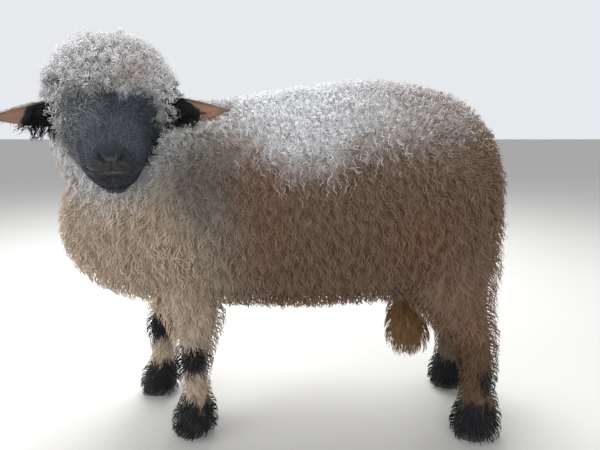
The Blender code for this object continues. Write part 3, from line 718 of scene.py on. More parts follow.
@dataclass(frozen=True)
class HornFinish:
    """Dark hoof horn with growth rings and a worn, paler sole edge."""

    dark: Colour = (0.022, 0.018, 0.016)
    worn: Colour = (0.110, 0.085, 0.062)

    def material(self) -> bpy.types.Material:
        """Horn with growth rings, paler at the sole.

        Returns:
            The material.
        """
        paint = Paint("hoof_horn")
        height = paint.node("ShaderNodeSeparateXYZ", {}, {0: paint.place()}, 2)
        mottle = paint.noise(90.0, 4.0)
        streaks = paint.noise(300.0, 2.0)
        edge = 1.0 - (height + mottle * 0.006).between(0.002, 0.012)
        colour = paint.mix(edge * 0.7 + mottle * 0.2, self.dark, self.worn)
        rings = (height * 2400.0 + mottle * 3.0).maths("SINE")
        paint.set(Base_Color=colour, Roughness=0.42 + mottle * 0.3)
        paint.set(Normal=paint.bump(rings * 0.3 + streaks, 0.0005, 0.6))
        return paint.material


@dataclass(frozen=True)
class HeadPlan:
    """Where the head is, which way it faces, and the sizes of its forms."""

    nose_tip: tuple[float, float, float] = (0.229, 0.270, 0.614)
    yaw: float = math.radians(108.0)
    pitch: float = math.radians(25.0)
    # Distance behind the nose tip, top, bottom and half width of the bare head.
    stations: Rows = (
        (-0.0045, -0.011, -0.026, 0.012),
        (-0.003, -0.003, -0.033, 0.021),
        (0.003, 0.008, -0.047, 0.030),
        (0.014, 0.018, -0.059, 0.0370),
        (0.034, 0.027, -0.066, 0.0425),
        (0.060, 0.036, -0.071, 0.0475),
        (0.090, 0.046, -0.080, 0.0520),
        (0.118, 0.055, -0.091, 0.0620),
        (0.145, 0.063, -0.101, 0.0690),
        (0.180, 0.066, -0.106, 0.0700),
        (0.215, 0.058, -0.098, 0.0620),
        (0.245, 0.032, -0.062, 0.042),
    )
    waist: float = 0.55
    # Dark tufts in the cap, by distance behind the nose tip, to the left and above.
    dark_spots: Rows = ((0.190, -0.080, 0.048), (0.214, 0.092, 0.036))
    cap_back: float = 0.222
    cap_up: float = 0.012
    cap_half: tuple[float, float, float] = (0.112, 0.121, 0.116)
    cap_stand: float = 0.026
    eye_back: float = 0.134
    eye_up: float = 0.006
    eye_aside: float = 0.058
    eye_radius: float = 0.0130
    eye_look: tuple[float, float, float] = (0.52, 0.84, 0.12)
    ear_back: float = 0.188
    ear_up: float = -0.004
    ear_aside: float = 0.074
    ear_length: float = 0.140
    ear_half_width: float = 0.034
    ear_cup: float = 0.017
    # For each ear: how far it droops, how far it points ahead, and how far its open side looks up.
    ear_left: tuple[float, float, float] = (math.radians(-13.0), 0.42, 0.45)
    ear_right: tuple[float, float, float] = (math.radians(7.0), 0.0, -0.30)

    def axes(self) -> np.ndarray:
        """Forward, left and up of the head, one a row."""
        level = math.cos(self.pitch)
        forward = np.array((math.cos(self.yaw) * level, math.sin(self.yaw) * level, -math.sin(self.pitch)))
        left = np.array((-math.sin(self.yaw), math.cos(self.yaw), 0.0))
        return np.array((forward, left, np.cross(forward, left)))

    def point(self, back: float, aside: float, up: float) -> np.ndarray:
        """A point from its distance behind the nose tip, to the head's left and above."""
        return np.array(self.nose_tip) + np.array((-back, aside, up)) @ self.axes()

    def measured(self, points: np.ndarray) -> np.ndarray:
        """Distance behind the nose tip, to the left and above, of each point."""
        return (points - np.array(self.nose_tip)) @ self.axes().T * np.array((-1.0, 1.0, 1.0))

    def eye_frame(self, side: int) -> tuple[np.ndarray, np.ndarray]:
        """Where an eye is.

        Args:
            side: 1 for the left one, -1 for the right one.

        Returns:
            Its middle, and the directions along the lids, across them and out of the eye.
        """
        forward, left, above = self.axes()
        ahead, aside, upward = self.eye_look
        look = unit(forward * ahead + left * (aside * side) + above * upward)
        level = unit(np.cross(above, look))
        middle = self.point(self.eye_back, self.eye_aside * side, self.eye_up)
        return middle, np.array((level, np.cross(look, level), look))

    def ear_frame(self, part: Part) -> tuple[np.ndarray, np.ndarray]:
        """Where an ear is.

        Args:
            part: which one.

        Returns:
            Its root, and the directions out to its tip, along its width and out of its cup.
        """
        forward, left, above = self.axes()
        side, pose = (1, self.ear_left) if part is Part.EAR_LEFT else (-1, self.ear_right)
        droop, ahead, rise = pose
        out = unit(left * side * math.cos(droop) - UP * math.sin(droop) + forward * ahead)
        cup = forward * 0.94 + above * rise
        cup = unit(cup - out * (cup @ out))
        width = np.cross(out, cup)
        width = width if width[2] > 0 else -width
        root = self.point(self.ear_back, self.ear_aside * side, self.ear_up)
        return root, np.array((out, width, cup))

    def on_ear(self, points: np.ndarray, part: Part) -> np.ndarray:
        """Distances of points along an ear, across it and out of its cup, a row of each."""
        root, axes = self.ear_frame(part)
        return ((points - root) @ axes.T).T


@dataclass(frozen=True)
class BodyPlan:
    """Sections of the body out to the tips of the fleece, and how deep the coat is."""

    torso: Rows = (
        (-0.474, 0.575, 0.440, 0.050),
        (-0.462, 0.628, 0.375, 0.110),
        (-0.435, 0.678, 0.325, 0.152),
        (-0.385, 0.718, 0.305, 0.182),
        (-0.310, 0.745, 0.298, 0.198),
        (-0.200, 0.758, 0.290, 0.206),
        (-0.080, 0.746, 0.282, 0.208),
        (0.040, 0.728, 0.284, 0.200),
        (0.150, 0.715, 0.286, 0.186),
        (0.250, 0.690, 0.290, 0.170),
        (0.340, 0.640, 0.310, 0.145),
        (0.405, 0.580, 0.350, 0.110),
        (0.440, 0.520, 0.410, 0.062),
    )
    neck: Rows = (
        (0.180, 0.000, 0.500, 0.190, 0.155),
        (0.255, 0.000, 0.575, 0.176, 0.143),
        (0.298, 0.008, 0.640, 0.150, 0.132),
        (0.305, 0.030, 0.700, 0.128, 0.120),
        (0.296, 0.055, 0.745, 0.092, 0.092),
    )
    fore_near: Rows = (
        (0.400, 0.175, 0.085, 0.062),
        (0.320, 0.168, 0.078, 0.060),
        (0.265, 0.158, 0.064, 0.056),
        (0.208, 0.160, 0.046, 0.046),
        (0.175, 0.163, 0.043, 0.044),
        (0.140, 0.165, 0.037, 0.038),
        (0.105, 0.163, 0.035, 0.036),
        (0.076, 0.164, 0.043, 0.042),
        (0.045, 0.169, 0.052, 0.049),
        (0.012, 0.172, 0.053, 0.050),
    )
    fore_far: Rows = (
        (0.400, 0.195, 0.085, 0.062),
        (0.320, 0.222, 0.076, 0.060),
        (0.265, 0.248, 0.060, 0.056),
        (0.208, 0.276, 0.046, 0.046),
        (0.175, 0.284, 0.043, 0.044),
        (0.140, 0.284, 0.037, 0.038),
        (0.105, 0.283, 0.035, 0.036),
        (0.076, 0.287, 0.043, 0.042),
        (0.045, 0.294, 0.052, 0.049),
        (0.012, 0.298, 0.053, 0.050),
    )
    hind_near: Rows = (
        (0.480, -0.345, 0.120, 0.080),
        (0.400, -0.352, 0.116, 0.082),
        (0.335, -0.366, 0.098, 0.078),
        (0.290, -0.388, 0.080, 0.068),
        (0.247, -0.415, 0.061, 0.057),
        (0.213, -0.430, 0.050, 0.049),
        (0.160, -0.442, 0.044, 0.043),
        (0.119, -0.445, 0.041, 0.040),
        (0.083, -0.448, 0.046, 0.043),
        (0.050, -0.448, 0.056, 0.050),
        (0.012, -0.447, 0.057, 0.051),
    )
    hind_far: Rows = (
        (0.480, -0.345, 0.120, 0.080),
        (0.400, -0.350, 0.116, 0.082),
        (0.335, -0.362, 0.098, 0.078),
        (0.290, -0.384, 0.080, 0.068),
        (0.247, -0.412, 0.061, 0.057),
        (0.213, -0.430, 0.050, 0.049),
        (0.160, -0.446, 0.044, 0.043),
        (0.119, -0.450, 0.041, 0.040),
        (0.083, -0.455, 0.046, 0.043),
        (0.050, -0.456, 0.056, 0.050),
        (0.012, -0.455, 0.057, 0.051),
    )
    tail: Rows = (
        (0.640, -0.408, 0.020, 0.024),
        (0.595, -0.432, 0.038, 0.042),
        (0.520, -0.450, 0.045, 0.050),
        (0.430, -0.458, 0.046, 0.050),
        (0.360, -0.460, 0.038, 0.042),
        (0.320, -0.460, 0.018, 0.020),
    )
    scrotum: Rows = (
        (0.345, -0.302, 0.036, 0.034),
        (0.300, -0.303, 0.039, 0.037),
        (0.255, -0.306, 0.046, 0.041),
        (0.210, -0.309, 0.051, 0.045),
        (0.182, -0.311, 0.044, 0.039),
        (0.166, -0.312, 0.020, 0.018),
    )
    body_stand: float = 0.022
    tail_stand: float = 0.017
    scrotum_stand: float = 0.013
    leg_stand: tuple[float, float] = (0.012, 0.022)
    leg_coat_heights: tuple[float, float] = (0.10, 0.32)

    def leg(self, part: Part) -> tuple[Rows, float, float]:
        """What a leg is built from.

        Args:
            part: which one.

        Returns:
            Its sections, and its place across the body at its top and at the floor.
        """
        return {
            Part.FORE_LEFT: (self.fore_near, 0.092, 0.080),
            Part.FORE_RIGHT: (self.fore_far, -0.092, -0.082),
            Part.HIND_LEFT: (self.hind_near, 0.098, 0.090),
            Part.HIND_RIGHT: (self.hind_far, -0.098, -0.114),
        }[part]

    def leg_depth(self, height: np.ndarray) -> np.ndarray:
        """Depth of a leg's coat at a height."""
        low, high = self.leg_coat_heights
        share = np.clip((height - low) / (high - low), 0.0, 1.0)
        return self.leg_stand[0] + (self.leg_stand[1] - self.leg_stand[0]) * share

    def leg_middle(self, part: Part, height: np.ndarray) -> np.ndarray:
        """The middle of a leg at each height.

        Args:
            part: which one.
            height: heights over the floor.

        Returns:
            A place for each height.
        """
        rows, y_top, y_floor = self.leg(part)
        table = np.array(rows)[::-1]
        x = np.interp(height, table[:, 0], table[:, 1])
        y = y_floor + (y_top - y_floor) * height / rows[0][0]
        return np.stack((x, y, height), axis=-1)


@dataclass
class Flesh:
    """Builds the flesh under the coat: one closed skin."""

    body: BodyPlan
    head: HeadPlan
    body_voxel: float = 0.0065
    head_voxel: float = 0.0017
    sides: int = 48

    def torso(self) -> bpy.types.Object:
        """Chest, belly and rump.

        Returns:
            The form, less the coat's depth.
        """
        inset = self.body.body_stand
        rings = []
        for x, top, bottom, half in smooth_rows(self.body.torso, 5):
            end = min(max(abs(x + 0.02) - 0.30, 0.0) / 0.17, 1.0)
            middle = np.array((x - inset * end * math.copysign(1.0, x + 0.02), 0.0, (top + bottom) / 2))
            rise = max((top - bottom) / 2 - inset, 0.012)
            halves = (max(half - inset, 0.012), rise, rise)
            rings.append(oval(middle, np.array((0.0, 1.0, 0.0)), UP, halves, self.sides, 0.88))
        return loft("torso_flesh", rings)

    def neck(self) -> bpy.types.Object:
        """Neck, from deep in the chest to the poll.

        Returns:
            The form, less the coat's depth.
        """
        rows = smooth_rows(self.body.neck, 6)
        along = unit(np.gradient(rows[:, :3], axis=0))
        rings = []
        for row, way in zip(rows, along):
            front = unit(np.cross(np.array((0.0, 1.0, 0.0)), way))
            depth = row[3] - self.body.body_stand
            halves = (row[4] - self.body.body_stand, depth, depth)
            rings.append(oval(row[:3], np.cross(way, front), front, halves, self.sides, 0.95))
        return loft("neck_flesh", rings)

    def column(self, name: str, rows: Iterable[Sequence[float]]) -> bpy.types.Object:
        """A form down level sections.

        Args:
            name: the object's name.
            rows: height, X, Y, half length and half width of each section.

        Returns:
            The form.
        """
        rings = []
        for height, x, y, half_x, half_y in rows:
            halves = (half_x, half_y, half_y)
            middle = np.array((x, y, height))
            rings.append(oval(middle, np.array((1.0, 0, 0)), np.array((0, 1.0, 0)), halves, self.sides))
        return loft(name, rings)

    def leg(self, part: Part) -> bpy.types.Object:
        """One leg, from inside the body to just over the floor.

        Args:
            part: which one.

        Returns:
            The form, less the coat's depth.
        """
        rows = []
        for height, x, half_x, half_y in smooth_rows(self.body.leg(part)[0], 5):
            y = self.body.leg_middle(part, height)[1]
            inset = self.body.leg_depth(height)
            rows.append((height, x, y, half_x - inset, half_y - inset))
        return self.column(part.name.lower() + "_flesh", rows)

    def hanging(self, name: str, stations: Rows, inset: float) -> bpy.types.Object:
        """Tail or scrotum, hanging at the middle plane.

        Args:
            name: the object's name.
            stations: its sections out to the tips of the coat.
            inset: the coat's depth.

        Returns:
            The form.
        """
        rows = []
        for height, x, half_x, half_y in smooth_rows(stations, 5):
            rows.append((height, x, 0.0, max(half_x - inset, 0.006), max(half_y - inset, 0.006)))
        return self.column(name, rows)

    def skull(self) -> bpy.types.Object:
        """The bare head, from the nose to the poll.

        Returns:
            The form.
        """
        _, left, above = self.head.axes()
        rings = []
        for back, top, bottom, half in smooth_rows(self.head.stations, 6):
            waist = bottom + (top - bottom) * self.head.waist
            halves = (half, top - waist, waist - bottom)
            rings.append(oval(self.head.point(back, 0.0, waist), left, above, halves, 64, 0.86))
        return loft("skull_flesh", rings)

    def cap(self) -> bpy.types.Object:
        """The poll and cheeks under the woolly cap."""
        halves = np.array(self.head.cap_half) - self.head.cap_stand
        middle = self.head.point(self.head.cap_back, 0.0, self.head.cap_up)
        return ball("cap_flesh", middle, self.head.axes(), halves)

    def parts(self) -> dict[Part, bpy.types.Object]:
        """Every form of the body, by part.

        Returns:
            The forms, by part.
        """
        made = {
            Part.TORSO: self.torso(),
            Part.NECK: self.neck(),
            Part.SKULL: self.skull(),
            Part.CAP: self.cap(),
            Part.TAIL: self.hanging("tail_flesh", self.body.tail, self.body.tail_stand),
            Part.SCROTUM: self.hanging("scrotum_flesh", self.body.scrotum, self.body.scrotum_stand),
        }
        made.update({part: self.leg(part) for part in LEG_PARTS})
        made.update({part: self.ear(part) for part in EAR_PARTS})
        return made

    def ear(self, part: Part) -> bpy.types.Object:
        """A leaf-shaped ear: a thin shell with an open cup, a rolled rim and a soft fold along it.

        Args:
            part: which one.

        Returns:
            The ear.
        """
        plan = self.head
        root, (out, width, cup) = plan.ear_frame(part)
        rings = []
        steps, points = 44, 26
        for share in np.linspace(-0.10, 1.0, steps + 1):
            length = max(share, 0.0)
            swell = 0.56 + 0.44 * math.sin(math.pi / 2 * min(length / 0.50, 1.0))
            taper = max(1 - length**1.6, 0.0)
            half = max(plan.ear_half_width * swell * taper, 0.0016)
            depth = plan.ear_cup * (1 - 0.72 * length) * taper
            wall = 0.0040 * (1.35 - 0.75 * length)
            middle = root + out * (plan.ear_length * share) - cup * (0.010 * length * length)
            turn = np.linspace(-1.0, 1.0, points)
            across = half * np.sin(turn * math.pi / 2)
            fold = 0.0016 * np.cos(turn * 7.0) * np.cos(turn * math.pi / 2) * taper
            lip = 0.0022 * np.exp(-(((np.abs(turn) - 0.93) / 0.07) ** 2)) * taper
            hollow = depth * (1 - turn * turn) - fold - lip
            rim = wall * (0.42 + 0.58 * np.cos(turn * math.pi / 2) ** 0.6)
            outer = middle + np.outer(across, width) - np.outer(hollow + rim / 2, cup)
            inner = middle + np.outer(across * 0.97, width) - np.outer(hollow - rim / 2, cup)
            rings.append(np.vstack((outer, inner[::-1])))
        return loft(part.name.lower() + "_flesh", rings)

    def face(self, skull: bpy.types.Object) -> bpy.types.Object:
        """Adds lids, brows, cheeks, lips, mouth, nostrils and the groove between them.

        Args:
            skull: the bare head, which the result replaces.

        Returns:
            The finished head.
        """
        plan = self.head
        tree = tree_of(skull)
        added = [ball("chin", plan.point(0.034, 0.0, -0.060), plan.axes(), (0.024, 0.022, 0.014))]
        removed = [tube("groove", self.groove_path(tree), 0.0023)]
        for side in (1, -1):
            eye, axes = plan.eye_frame(side)
            level, across, look = axes
            added.append(ball("lids", eye, axes, [0.0160] * 3))
            added.append(ball("brow", eye + across * 0.013 - look * 0.006, axes, (0.027, 0.018, 0.0135)))
            added.append(ball("under_lid", eye - across * 0.012 - look * 0.007, axes, (0.022, 0.012, 0.012)))
            cheek = plan.point(0.168, 0.052 * side, -0.040)
            added.append(ball("cheek", cheek, plan.axes(), (0.048, 0.024, 0.042)))
            opening = eye + look * 0.011
            removed.append(ball("opening", opening, axes, (0.0136, 0.0082, 0.020)))
            removed.append(ball("corner", opening - level * 0.0125 * side, axes, (0.006, 0.0028, 0.02)))
            added.append(self.nostril_wing(side))
            removed.append(self.nostril(side))
        heart = plan.point(0.028, 0.0, -0.040)
        for rise, radius in ((0.0036, 0.0037), (-0.0042, 0.0036)):
            inner = [point - (point - heart) * 0.06 for point in self.mouth_path(tree, rise)]
            added.append(tube("lip", inner, radius))
        removed.append(tube("mouth", self.mouth_path(tree, 0.0), 0.0021))
        head = combined(skull, added, "UNION")
        head = combined(head, removed, "DIFFERENCE")
        head.name = "head_flesh"
        head = remeshed(head, self.head_voxel, 3)
        for side in (1, -1):
            eye, axes = plan.eye_frame(side)
            socket = ball("socket", eye, axes, [plan.eye_radius + 0.0004] * 3, 40, 28)
            head = combined(head, [socket], "DIFFERENCE")
        return head

    def nostril(self, side: int) -> bpy.types.Object:
        """The comma-shaped hollow of one nostril, narrow below and wide above.

        Args:
            side: 1 for the left one, -1 for the right one.

        Returns:
            What is cut away.
        """
        path = []
        radii = []
        for share in np.linspace(0.0, 1.0, 11):
            aside = 0.0050 + 0.0118 * math.sin(share * 1.9)
            path.append(self.head.point(-0.003 + 0.010 * share, aside * side, -0.0075 + 0.0170 * share))
            radii.append(0.0011 + 0.0027 * math.sin(math.pi * share**1.3) ** 0.8)
        return tube("nostril", path, radii)

    def nostril_wing(self, side: int) -> bpy.types.Object:
        """The raised rim over and outside one nostril.

        Args:
            side: 1 for the left one, -1 for the right one.

        Returns:
            What is added.
        """
        path = []
        for share in np.linspace(0.0, 1.0, 9):
            aside = 0.0098 + 0.0132 * math.sin(share * 2.1)
            path.append(self.head.point(0.005 + 0.011 * share, aside * side, -0.010 + 0.024 * share))
        return tube("wing", path, [0.0028, 0.0036, 0.0042, 0.0046, 0.0048, 0.0048, 0.0045, 0.0040, 0.0030])

    def mouth_path(self, tree: BVHTree, rise: float) -> list[np.ndarray]:
        """Follows the line of the mouth round the muzzle.

        Args:
            tree: the head's faces.
            rise: how far the line is moved up.

        Returns:
            Points on the head.
        """
        points = []
        for share in np.linspace(-1.0, 1.0, 41):
            back = 0.060 * abs(share) ** 1.6
            up = -0.0165 - 0.36 * back + rise
            heart = self.head.point(back + 0.028, 0.0, up)
            outside = self.head.point(back - 0.02 * (1 - abs(share)), 0.09 * share, up)
            place = tree.ray_cast(Vector(2 * outside - heart), Vector(heart - outside))[0]
            if place is not None:
                points.append(np.array(place))
        return points

    def groove_path(self, tree: BVHTree) -> list[np.ndarray]:
        """Follows the groove from the nose to the middle of the mouth.

        Args:
            tree: the head's faces.

        Returns:
            Points on the head.
        """
        points = []
        for up in np.linspace(-0.002, -0.0165, 7):
            ahead = self.head.point(-0.05, 0.0, up)
            hit = tree.ray_cast(Vector(ahead), Vector(self.head.point(0.05, 0.0, up) - ahead))[0]
            points.append(np.array(hit))
        return points

    def build(self) -> tuple[bpy.types.Object, "PartMap"]:
        """Fuses all flesh into one skin.

        Returns:
            The skin, still in the body frame, and a map from a place to the part that it belongs to.
        """
        parts = self.parts()
        where = PartMap(parts)
        ears = [parts.pop(part) for part in EAR_PARTS]
        head = self.face(parts.pop(Part.SKULL))
        body = remeshed(joined("flesh", parts.values()), self.body_voxel, 6)
        skin = combined(body, [head, *ears], "UNION")
        skin.name = "skin"
        keep_outer(skin)
        fix_order(skin.data)
        skin.data.shade_smooth()
        log.info("skin: %d faces", len(skin.data.polygons))
        return skin, where


def keep_outer(obj: bpy.types.Object) -> None:
    """Drops every loose shell but the one with the most faces.

    Args:
        obj: the object, changed in place.
    """
    mesh = bmesh_of(obj)
    left = set(mesh.faces)
    shells = []
    while left:
        search = [left.pop()]
        shell = list(search)
        while search:
            for edge in search.pop().edges:
                for near in edge.link_faces:
                    if near in left:
                        left.remove(near)
                        shell.append(near)
                        search.append(near)
        shells.append(shell)
    shells.sort(key=len, reverse=True)
    for shell in shells[1:]:
        bmesh.ops.delete(mesh, geom=shell, context="FACES")
    mesh.to_mesh(obj.data)
    mesh.free()


def fix_order(data: bpy.types.Mesh) -> None:
    """Puts a mesh's points and faces in one order, so that every run gives the same result.

    Args:
        data: the mesh, changed in place.
    """
    points = [tuple(vert.co) for vert in data.vertices]
    order = sorted(range(len(points)), key=points.__getitem__)
    places = {old: new for new, old in enumerate(order)}
    faces = []
    for face in data.polygons:
        corners = [places[index] for index in face.vertices]
        first = corners.index(min(corners))
        faces.append(corners[first:] + corners[:first])
    data.clear_geometry()
    data.from_pydata([points[index] for index in order], [], sorted(faces))


class PartMap:
    """The part of the animal that a place belongs to, by the nearest form of its flesh."""

    def __init__(self, parts: dict[Part, bpy.types.Object]) -> None:
        """Keeps the points of every form."""
        clouds = [(part, points_of(obj.data)) for part, obj in parts.items()]
        self.labels = np.concatenate([np.full(len(cloud), part.value) for part, cloud in clouds])
        self.tree = search_tree(np.vstack([cloud for _, cloud in clouds]))

    def parts_at(self, points: np.ndarray) -> np.ndarray:
        """The value of the nearest part for each point."""
        return np.array([self.labels[self.tree.find(point)[1]] for point in points])


@dataclass(frozen=True)
class Markings:
    """The animal's markings, with some painted light and shade among them, for skin and coat alike, from a
    place, its outward direction and its part.
    """

    body: BodyPlan
    head: HeadPlan
    face_reach: float = 0.146
    knee: tuple[float, float] = (0.158, 0.220)
    hock: tuple[float, float] = (0.126, 0.170)
    foot_top: float = 0.090
    # Lower edge of the white back, as X and height of the roots. The white back is partly the wool's own
    # bleached tips and partly painted light from above, lighter on the top than on the flanks.
    white_edge: Rows = (
        (-0.42, 0.672), (-0.30, 0.632), (-0.20, 0.624), (-0.16, 0.624), (-0.13, 0.598), (-0.04, 0.592),
        (0.00, 0.622), (0.06, 0.660), (0.12, 0.668),
    )

    def of(self, points: np.ndarray, out: np.ndarray, parts: np.ndarray) -> dict[str, np.ndarray]:
        """The tones of each point.

        Args:
            points: places in the body frame.
            out: outward directions.
            parts: the value of each point's part.

        Returns:
            Four vectors for each point: marks (black, white, warm), tones (grey, pale, gold), skin
            (bare, ear, wet) and veil (painted slate sheen, ear edge, tan).
        """
        x, _, z = points.T
        ragged = drift(points, 0.018, 3)
        slow = drift(points, 0.16, 5)
        on_leg, on_head = among(parts, LEG_PARTS), among(parts, HEAD_PARTS)
        on_ear = among(parts, EAR_PARTS)
        black = np.maximum(self.face(points, ragged) * on_head, self.legs(points, parts, ragged) * on_leg)
        ear = self.ears(points, out, parts)
        black = np.maximum(black, ear["black"])
        edge = np.interp(x, *np.array(self.white_edge).T)
        # Partly painted light: the body is whiter above this edge, where light falls from above, as well as
        # paler from the wool's bleached tips.
        white = smoothstep(-0.048, 0.050, z - edge + 0.016 * ragged + 0.012 * slow)
        white = white * (1 - smoothstep(-0.10, -0.34, x) * (0.42 + 0.30 * drift(points, 0.010, 15)))
        white = np.where(on_head, 0.90 + 0.08 * slow, white * (1 - on_leg) * (1 - on_ear))
        away = np.linalg.norm(points - self.head.point(0.190, 0.0, -0.030), axis=1)
        collar = among(parts, (Part.NECK, Part.TORSO)) * smoothstep(0.185, 0.105, away + 0.012 * ragged)
        white = np.maximum(white, 0.95 * collar)
        white = np.clip(white, 0.0, 1.0)
        middle = np.exp(-(((x + 0.03) / 0.12) ** 2 + ((z - 0.5) / 0.12) ** 2))
        warm = smoothstep(0.05, 0.9, slow + 0.5 * middle)
        warm = np.maximum(warm, smoothstep(0.48, 0.26, z) * smoothstep(-0.28, -0.36, x) * 0.85)
        grey = smoothstep(-0.03, 0.13, x) * smoothstep(0.34, 0.48, z) * (1 - on_head)
        grey = grey * (0.88 + 0.12 * slow)
        # The paler chest is partly the wool's cream and partly painted light where the light falls on the
        # front.
        top = np.interp(x, (0.12, 0.30), (0.54, 0.63))
        chest = smoothstep(0.07, -0.07, z + 0.04 * slow - top) * smoothstep(-0.01, 0.19, x + 0.02 * ragged)
        shank = np.where(x > 0, smoothstep(0.36, 0.24, z), 0.0) * on_leg
        shank = np.where(parts == Part.HIND_RIGHT.value, smoothstep(0.22, 0.17, z), shank)
        pale = np.clip(np.maximum(chest * 0.95, shank * 0.72) + 0.12 * ragged * (chest + shank), 0, 1)
        gold = (parts == Part.SCROTUM.value) * smoothstep(0.36, 0.30, z)
        # The hind legs are made darker and warmer towards the bottom.
        gold = np.maximum(gold, on_leg * (x < 0) * (1 - pale) * smoothstep(0.30, 0.20, z) * 0.6)
        black = np.maximum(black, on_leg * (x < 0) * 0.50 * smoothstep(0.30, 0.18, z))
        bare = self.bare_nose(points) * on_head
        back, aside, up = self.head.measured(points).T
        wet = 0.6 * bare * smoothstep(0.010, 0.000, back)
        # Painted sheen: blue-grey over the black face, stronger on the head's right side as a painted
        # highlight where the light falls, and less near the nose.
        slate_sheen = on_head * np.clip(0.55 + 0.45 * smoothstep(0.0, -0.05, aside) + 0.12 * slow, 0, 1)
        slate_sheen = slate_sheen * smoothstep(-0.030, 0.045, back)
        # Painted highlight: the black of the face is lightened on the curls of its right side, where the
        # light falls.
        curly = smoothstep(0.004, -0.030, aside) * smoothstep(0.030, 0.075, back)
        black = black * (1 - 0.27 * curly * on_head * (0.8 + 0.5 * drift(points, 0.012, 17)))
        tan = 0.75 * np.exp(-(((aside + 0.090) / 0.020) ** 2 + ((up + 0.036) / 0.022) ** 2))
        tan = tan + 0.35 * np.exp(-(((aside - 0.033) / 0.026) ** 2 + ((up - 0.073) / 0.016) ** 2))
        tan = on_head * (1 - black) * tan
        for spot in self.head.dark_spots:
            away = np.linalg.norm(points - self.head.point(*spot), axis=1)
            black = np.maximum(black, on_head * 0.7 * smoothstep(0.022, 0.008, away + 0.004 * ragged))
        return {
            "marks": np.stack((black, white, warm), -1),
            "tones": np.stack((grey, pale, gold), -1),
            "skin": np.stack((bare, ear["bare"], wet), -1),
            "veil": np.stack((slate_sheen, ear["edge"], tan), -1),
        }

    def near_eye(self, points: np.ndarray, scale: float) -> np.ndarray:
        """Whether each point lies in the opening of an eye.

        Args:
            points: places in the body frame.
            scale: how much larger the opening is taken to be.

        Returns:
            A yes or no for each point.
        """
        near = np.zeros(len(points), bool)
        for side in (1, -1):
            eye, axes = self.head.eye_frame(side)
            local = (points - eye) @ axes.T
            inside = (local[:, 0] / (0.0144 * scale)) ** 2 + (local[:, 1] / (0.0092 * scale)) ** 2 < 1
            near |= inside & (local[:, 2] > 0)
        return near

    def face(self, points: np.ndarray, ragged: np.ndarray) -> np.ndarray:
        """The black face, from the muzzle back past the eyes.

        Args:
            points: places in the body frame.
            ragged: how far the edge wanders at each point.

        Returns:
            The share of black at each point.
        """
        back, aside, up = self.head.measured(points).T
        reach = self.face_reach - 0.022 * smoothstep(-0.02, -0.085, up) + 0.006 * ragged
        reach = reach - 0.022 * smoothstep(0.010, 0.055, up) * smoothstep(0.055, 0.030, np.abs(aside))
        return smoothstep(0.010, -0.008, back - reach)

    def bare_nose(self, points: np.ndarray) -> np.ndarray:
        """The bare skin round the nostrils and on the lips.

        Args:
            points: places in the body frame.

        Returns:
            The share of bare skin at each point.
        """
        back, aside, up = self.head.measured(points).T
        pad = smoothstep(0.012, 0.004, back + 0.45 * np.abs(aside)) * smoothstep(0.010, 0.002, up)
        pad = pad * smoothstep(-0.026, -0.018, up)
        lips = smoothstep(0.0055, 0.0020, np.abs(up + 0.0165 + 0.36 * back)) * smoothstep(0.030, 0.012, back)
        return np.maximum(pad, lips)

    def legs(self, points: np.ndarray, parts: np.ndarray, ragged: np.ndarray) -> np.ndarray:
        """Black knees, hocks and feet.

        Args:
            points: places in the body frame.
            parts: the value of each point's part.
            ragged: how far the edges wander at each point.

        Returns:
            The share of black at each point.
        """
        z = points[:, 2]
        black = smoothstep(0.010, -0.006, z - self.foot_top - 0.010 * ragged)
        for part in LEG_PARTS:
            here = parts == part.value
            ahead, outward, _ = (points - self.body.leg_middle(part, z)).T
            outward = outward if part in (Part.FORE_LEFT, Part.HIND_LEFT) else -outward
            fore = part in FORE_PARTS
            low, high = self.knee if fore else self.hock
            band = smoothstep(low - 0.010, low + 0.006, z + 0.006 * ragged)
            band = band * smoothstep(high + 0.010, high - 0.006, z + 0.006 * ragged)
            behind = 0.75 * -ahead + 0.66 * outward
            side = smoothstep(-0.034, -0.018, ahead) if fore else smoothstep(0.008, 0.016, behind)
            black = np.where(here, np.maximum(black, band * side), black)
        return black

    def unwrapped(self, points: np.ndarray, parts: np.ndarray) -> np.ndarray:
        """Places on a flat unwrap of the skin, from 0 to 1 each way: round a part, and along it.

        Args:
            points: places on the skin.
            parts: the value of each point's part.

        Returns:
            Two numbers for each point. Parts that share a piece of the coat have a half each.
        """
        x, y, z = points.T
        length, turn = (x + 0.5) / 0.96, np.arctan2(y, z - 0.52) / (2 * math.pi) + 0.5
        away, aside, rise = self.head.measured(points).T - np.array((self.head.cap_back, 0, 0))[:, None]
        round_head = np.arctan2(aside, rise + 0.02) / (2 * math.pi) + 0.5
        along_head = np.arctan2(np.hypot(aside, rise + 0.02), -away) / math.pi
        on_head = among(parts, HEAD_PARTS)
        length, turn = np.where(on_head, along_head, length), np.where(on_head, round_head, turn)
        neck = parts == Part.NECK.value
        length = np.where(neck, (z - 0.40) / 0.45, length)
        turn = np.where(neck, np.arctan2(y, x - 0.26) / (2 * math.pi) + 0.5, turn)
        halves = {Part.FORE_LEFT: 0, Part.FORE_RIGHT: 1, Part.HIND_LEFT: 0, Part.HIND_RIGHT: 1}
        for part, half in halves.items():
            around = points - self.body.leg_middle(part, z)
            here = parts == part.value
            angle = np.arctan2(around[:, 1], around[:, 0]) / (2 * math.pi) + 0.5
            length, turn = np.where(here, z / 0.52, length), np.where(here, (angle + half) / 2, turn)
        for part, half, middle in ((Part.TAIL, 0, -0.45), (Part.SCROTUM, 1, -0.305)):
            here = parts == part.value
            angle = np.arctan2(y, x - middle) / (2 * math.pi) + 0.5
            length, turn = np.where(here, z / 0.70, length), np.where(here, (angle + half) / 2, turn)
        for half, part in enumerate(EAR_PARTS):
            out, width, cup = self.head.on_ear(points, part)
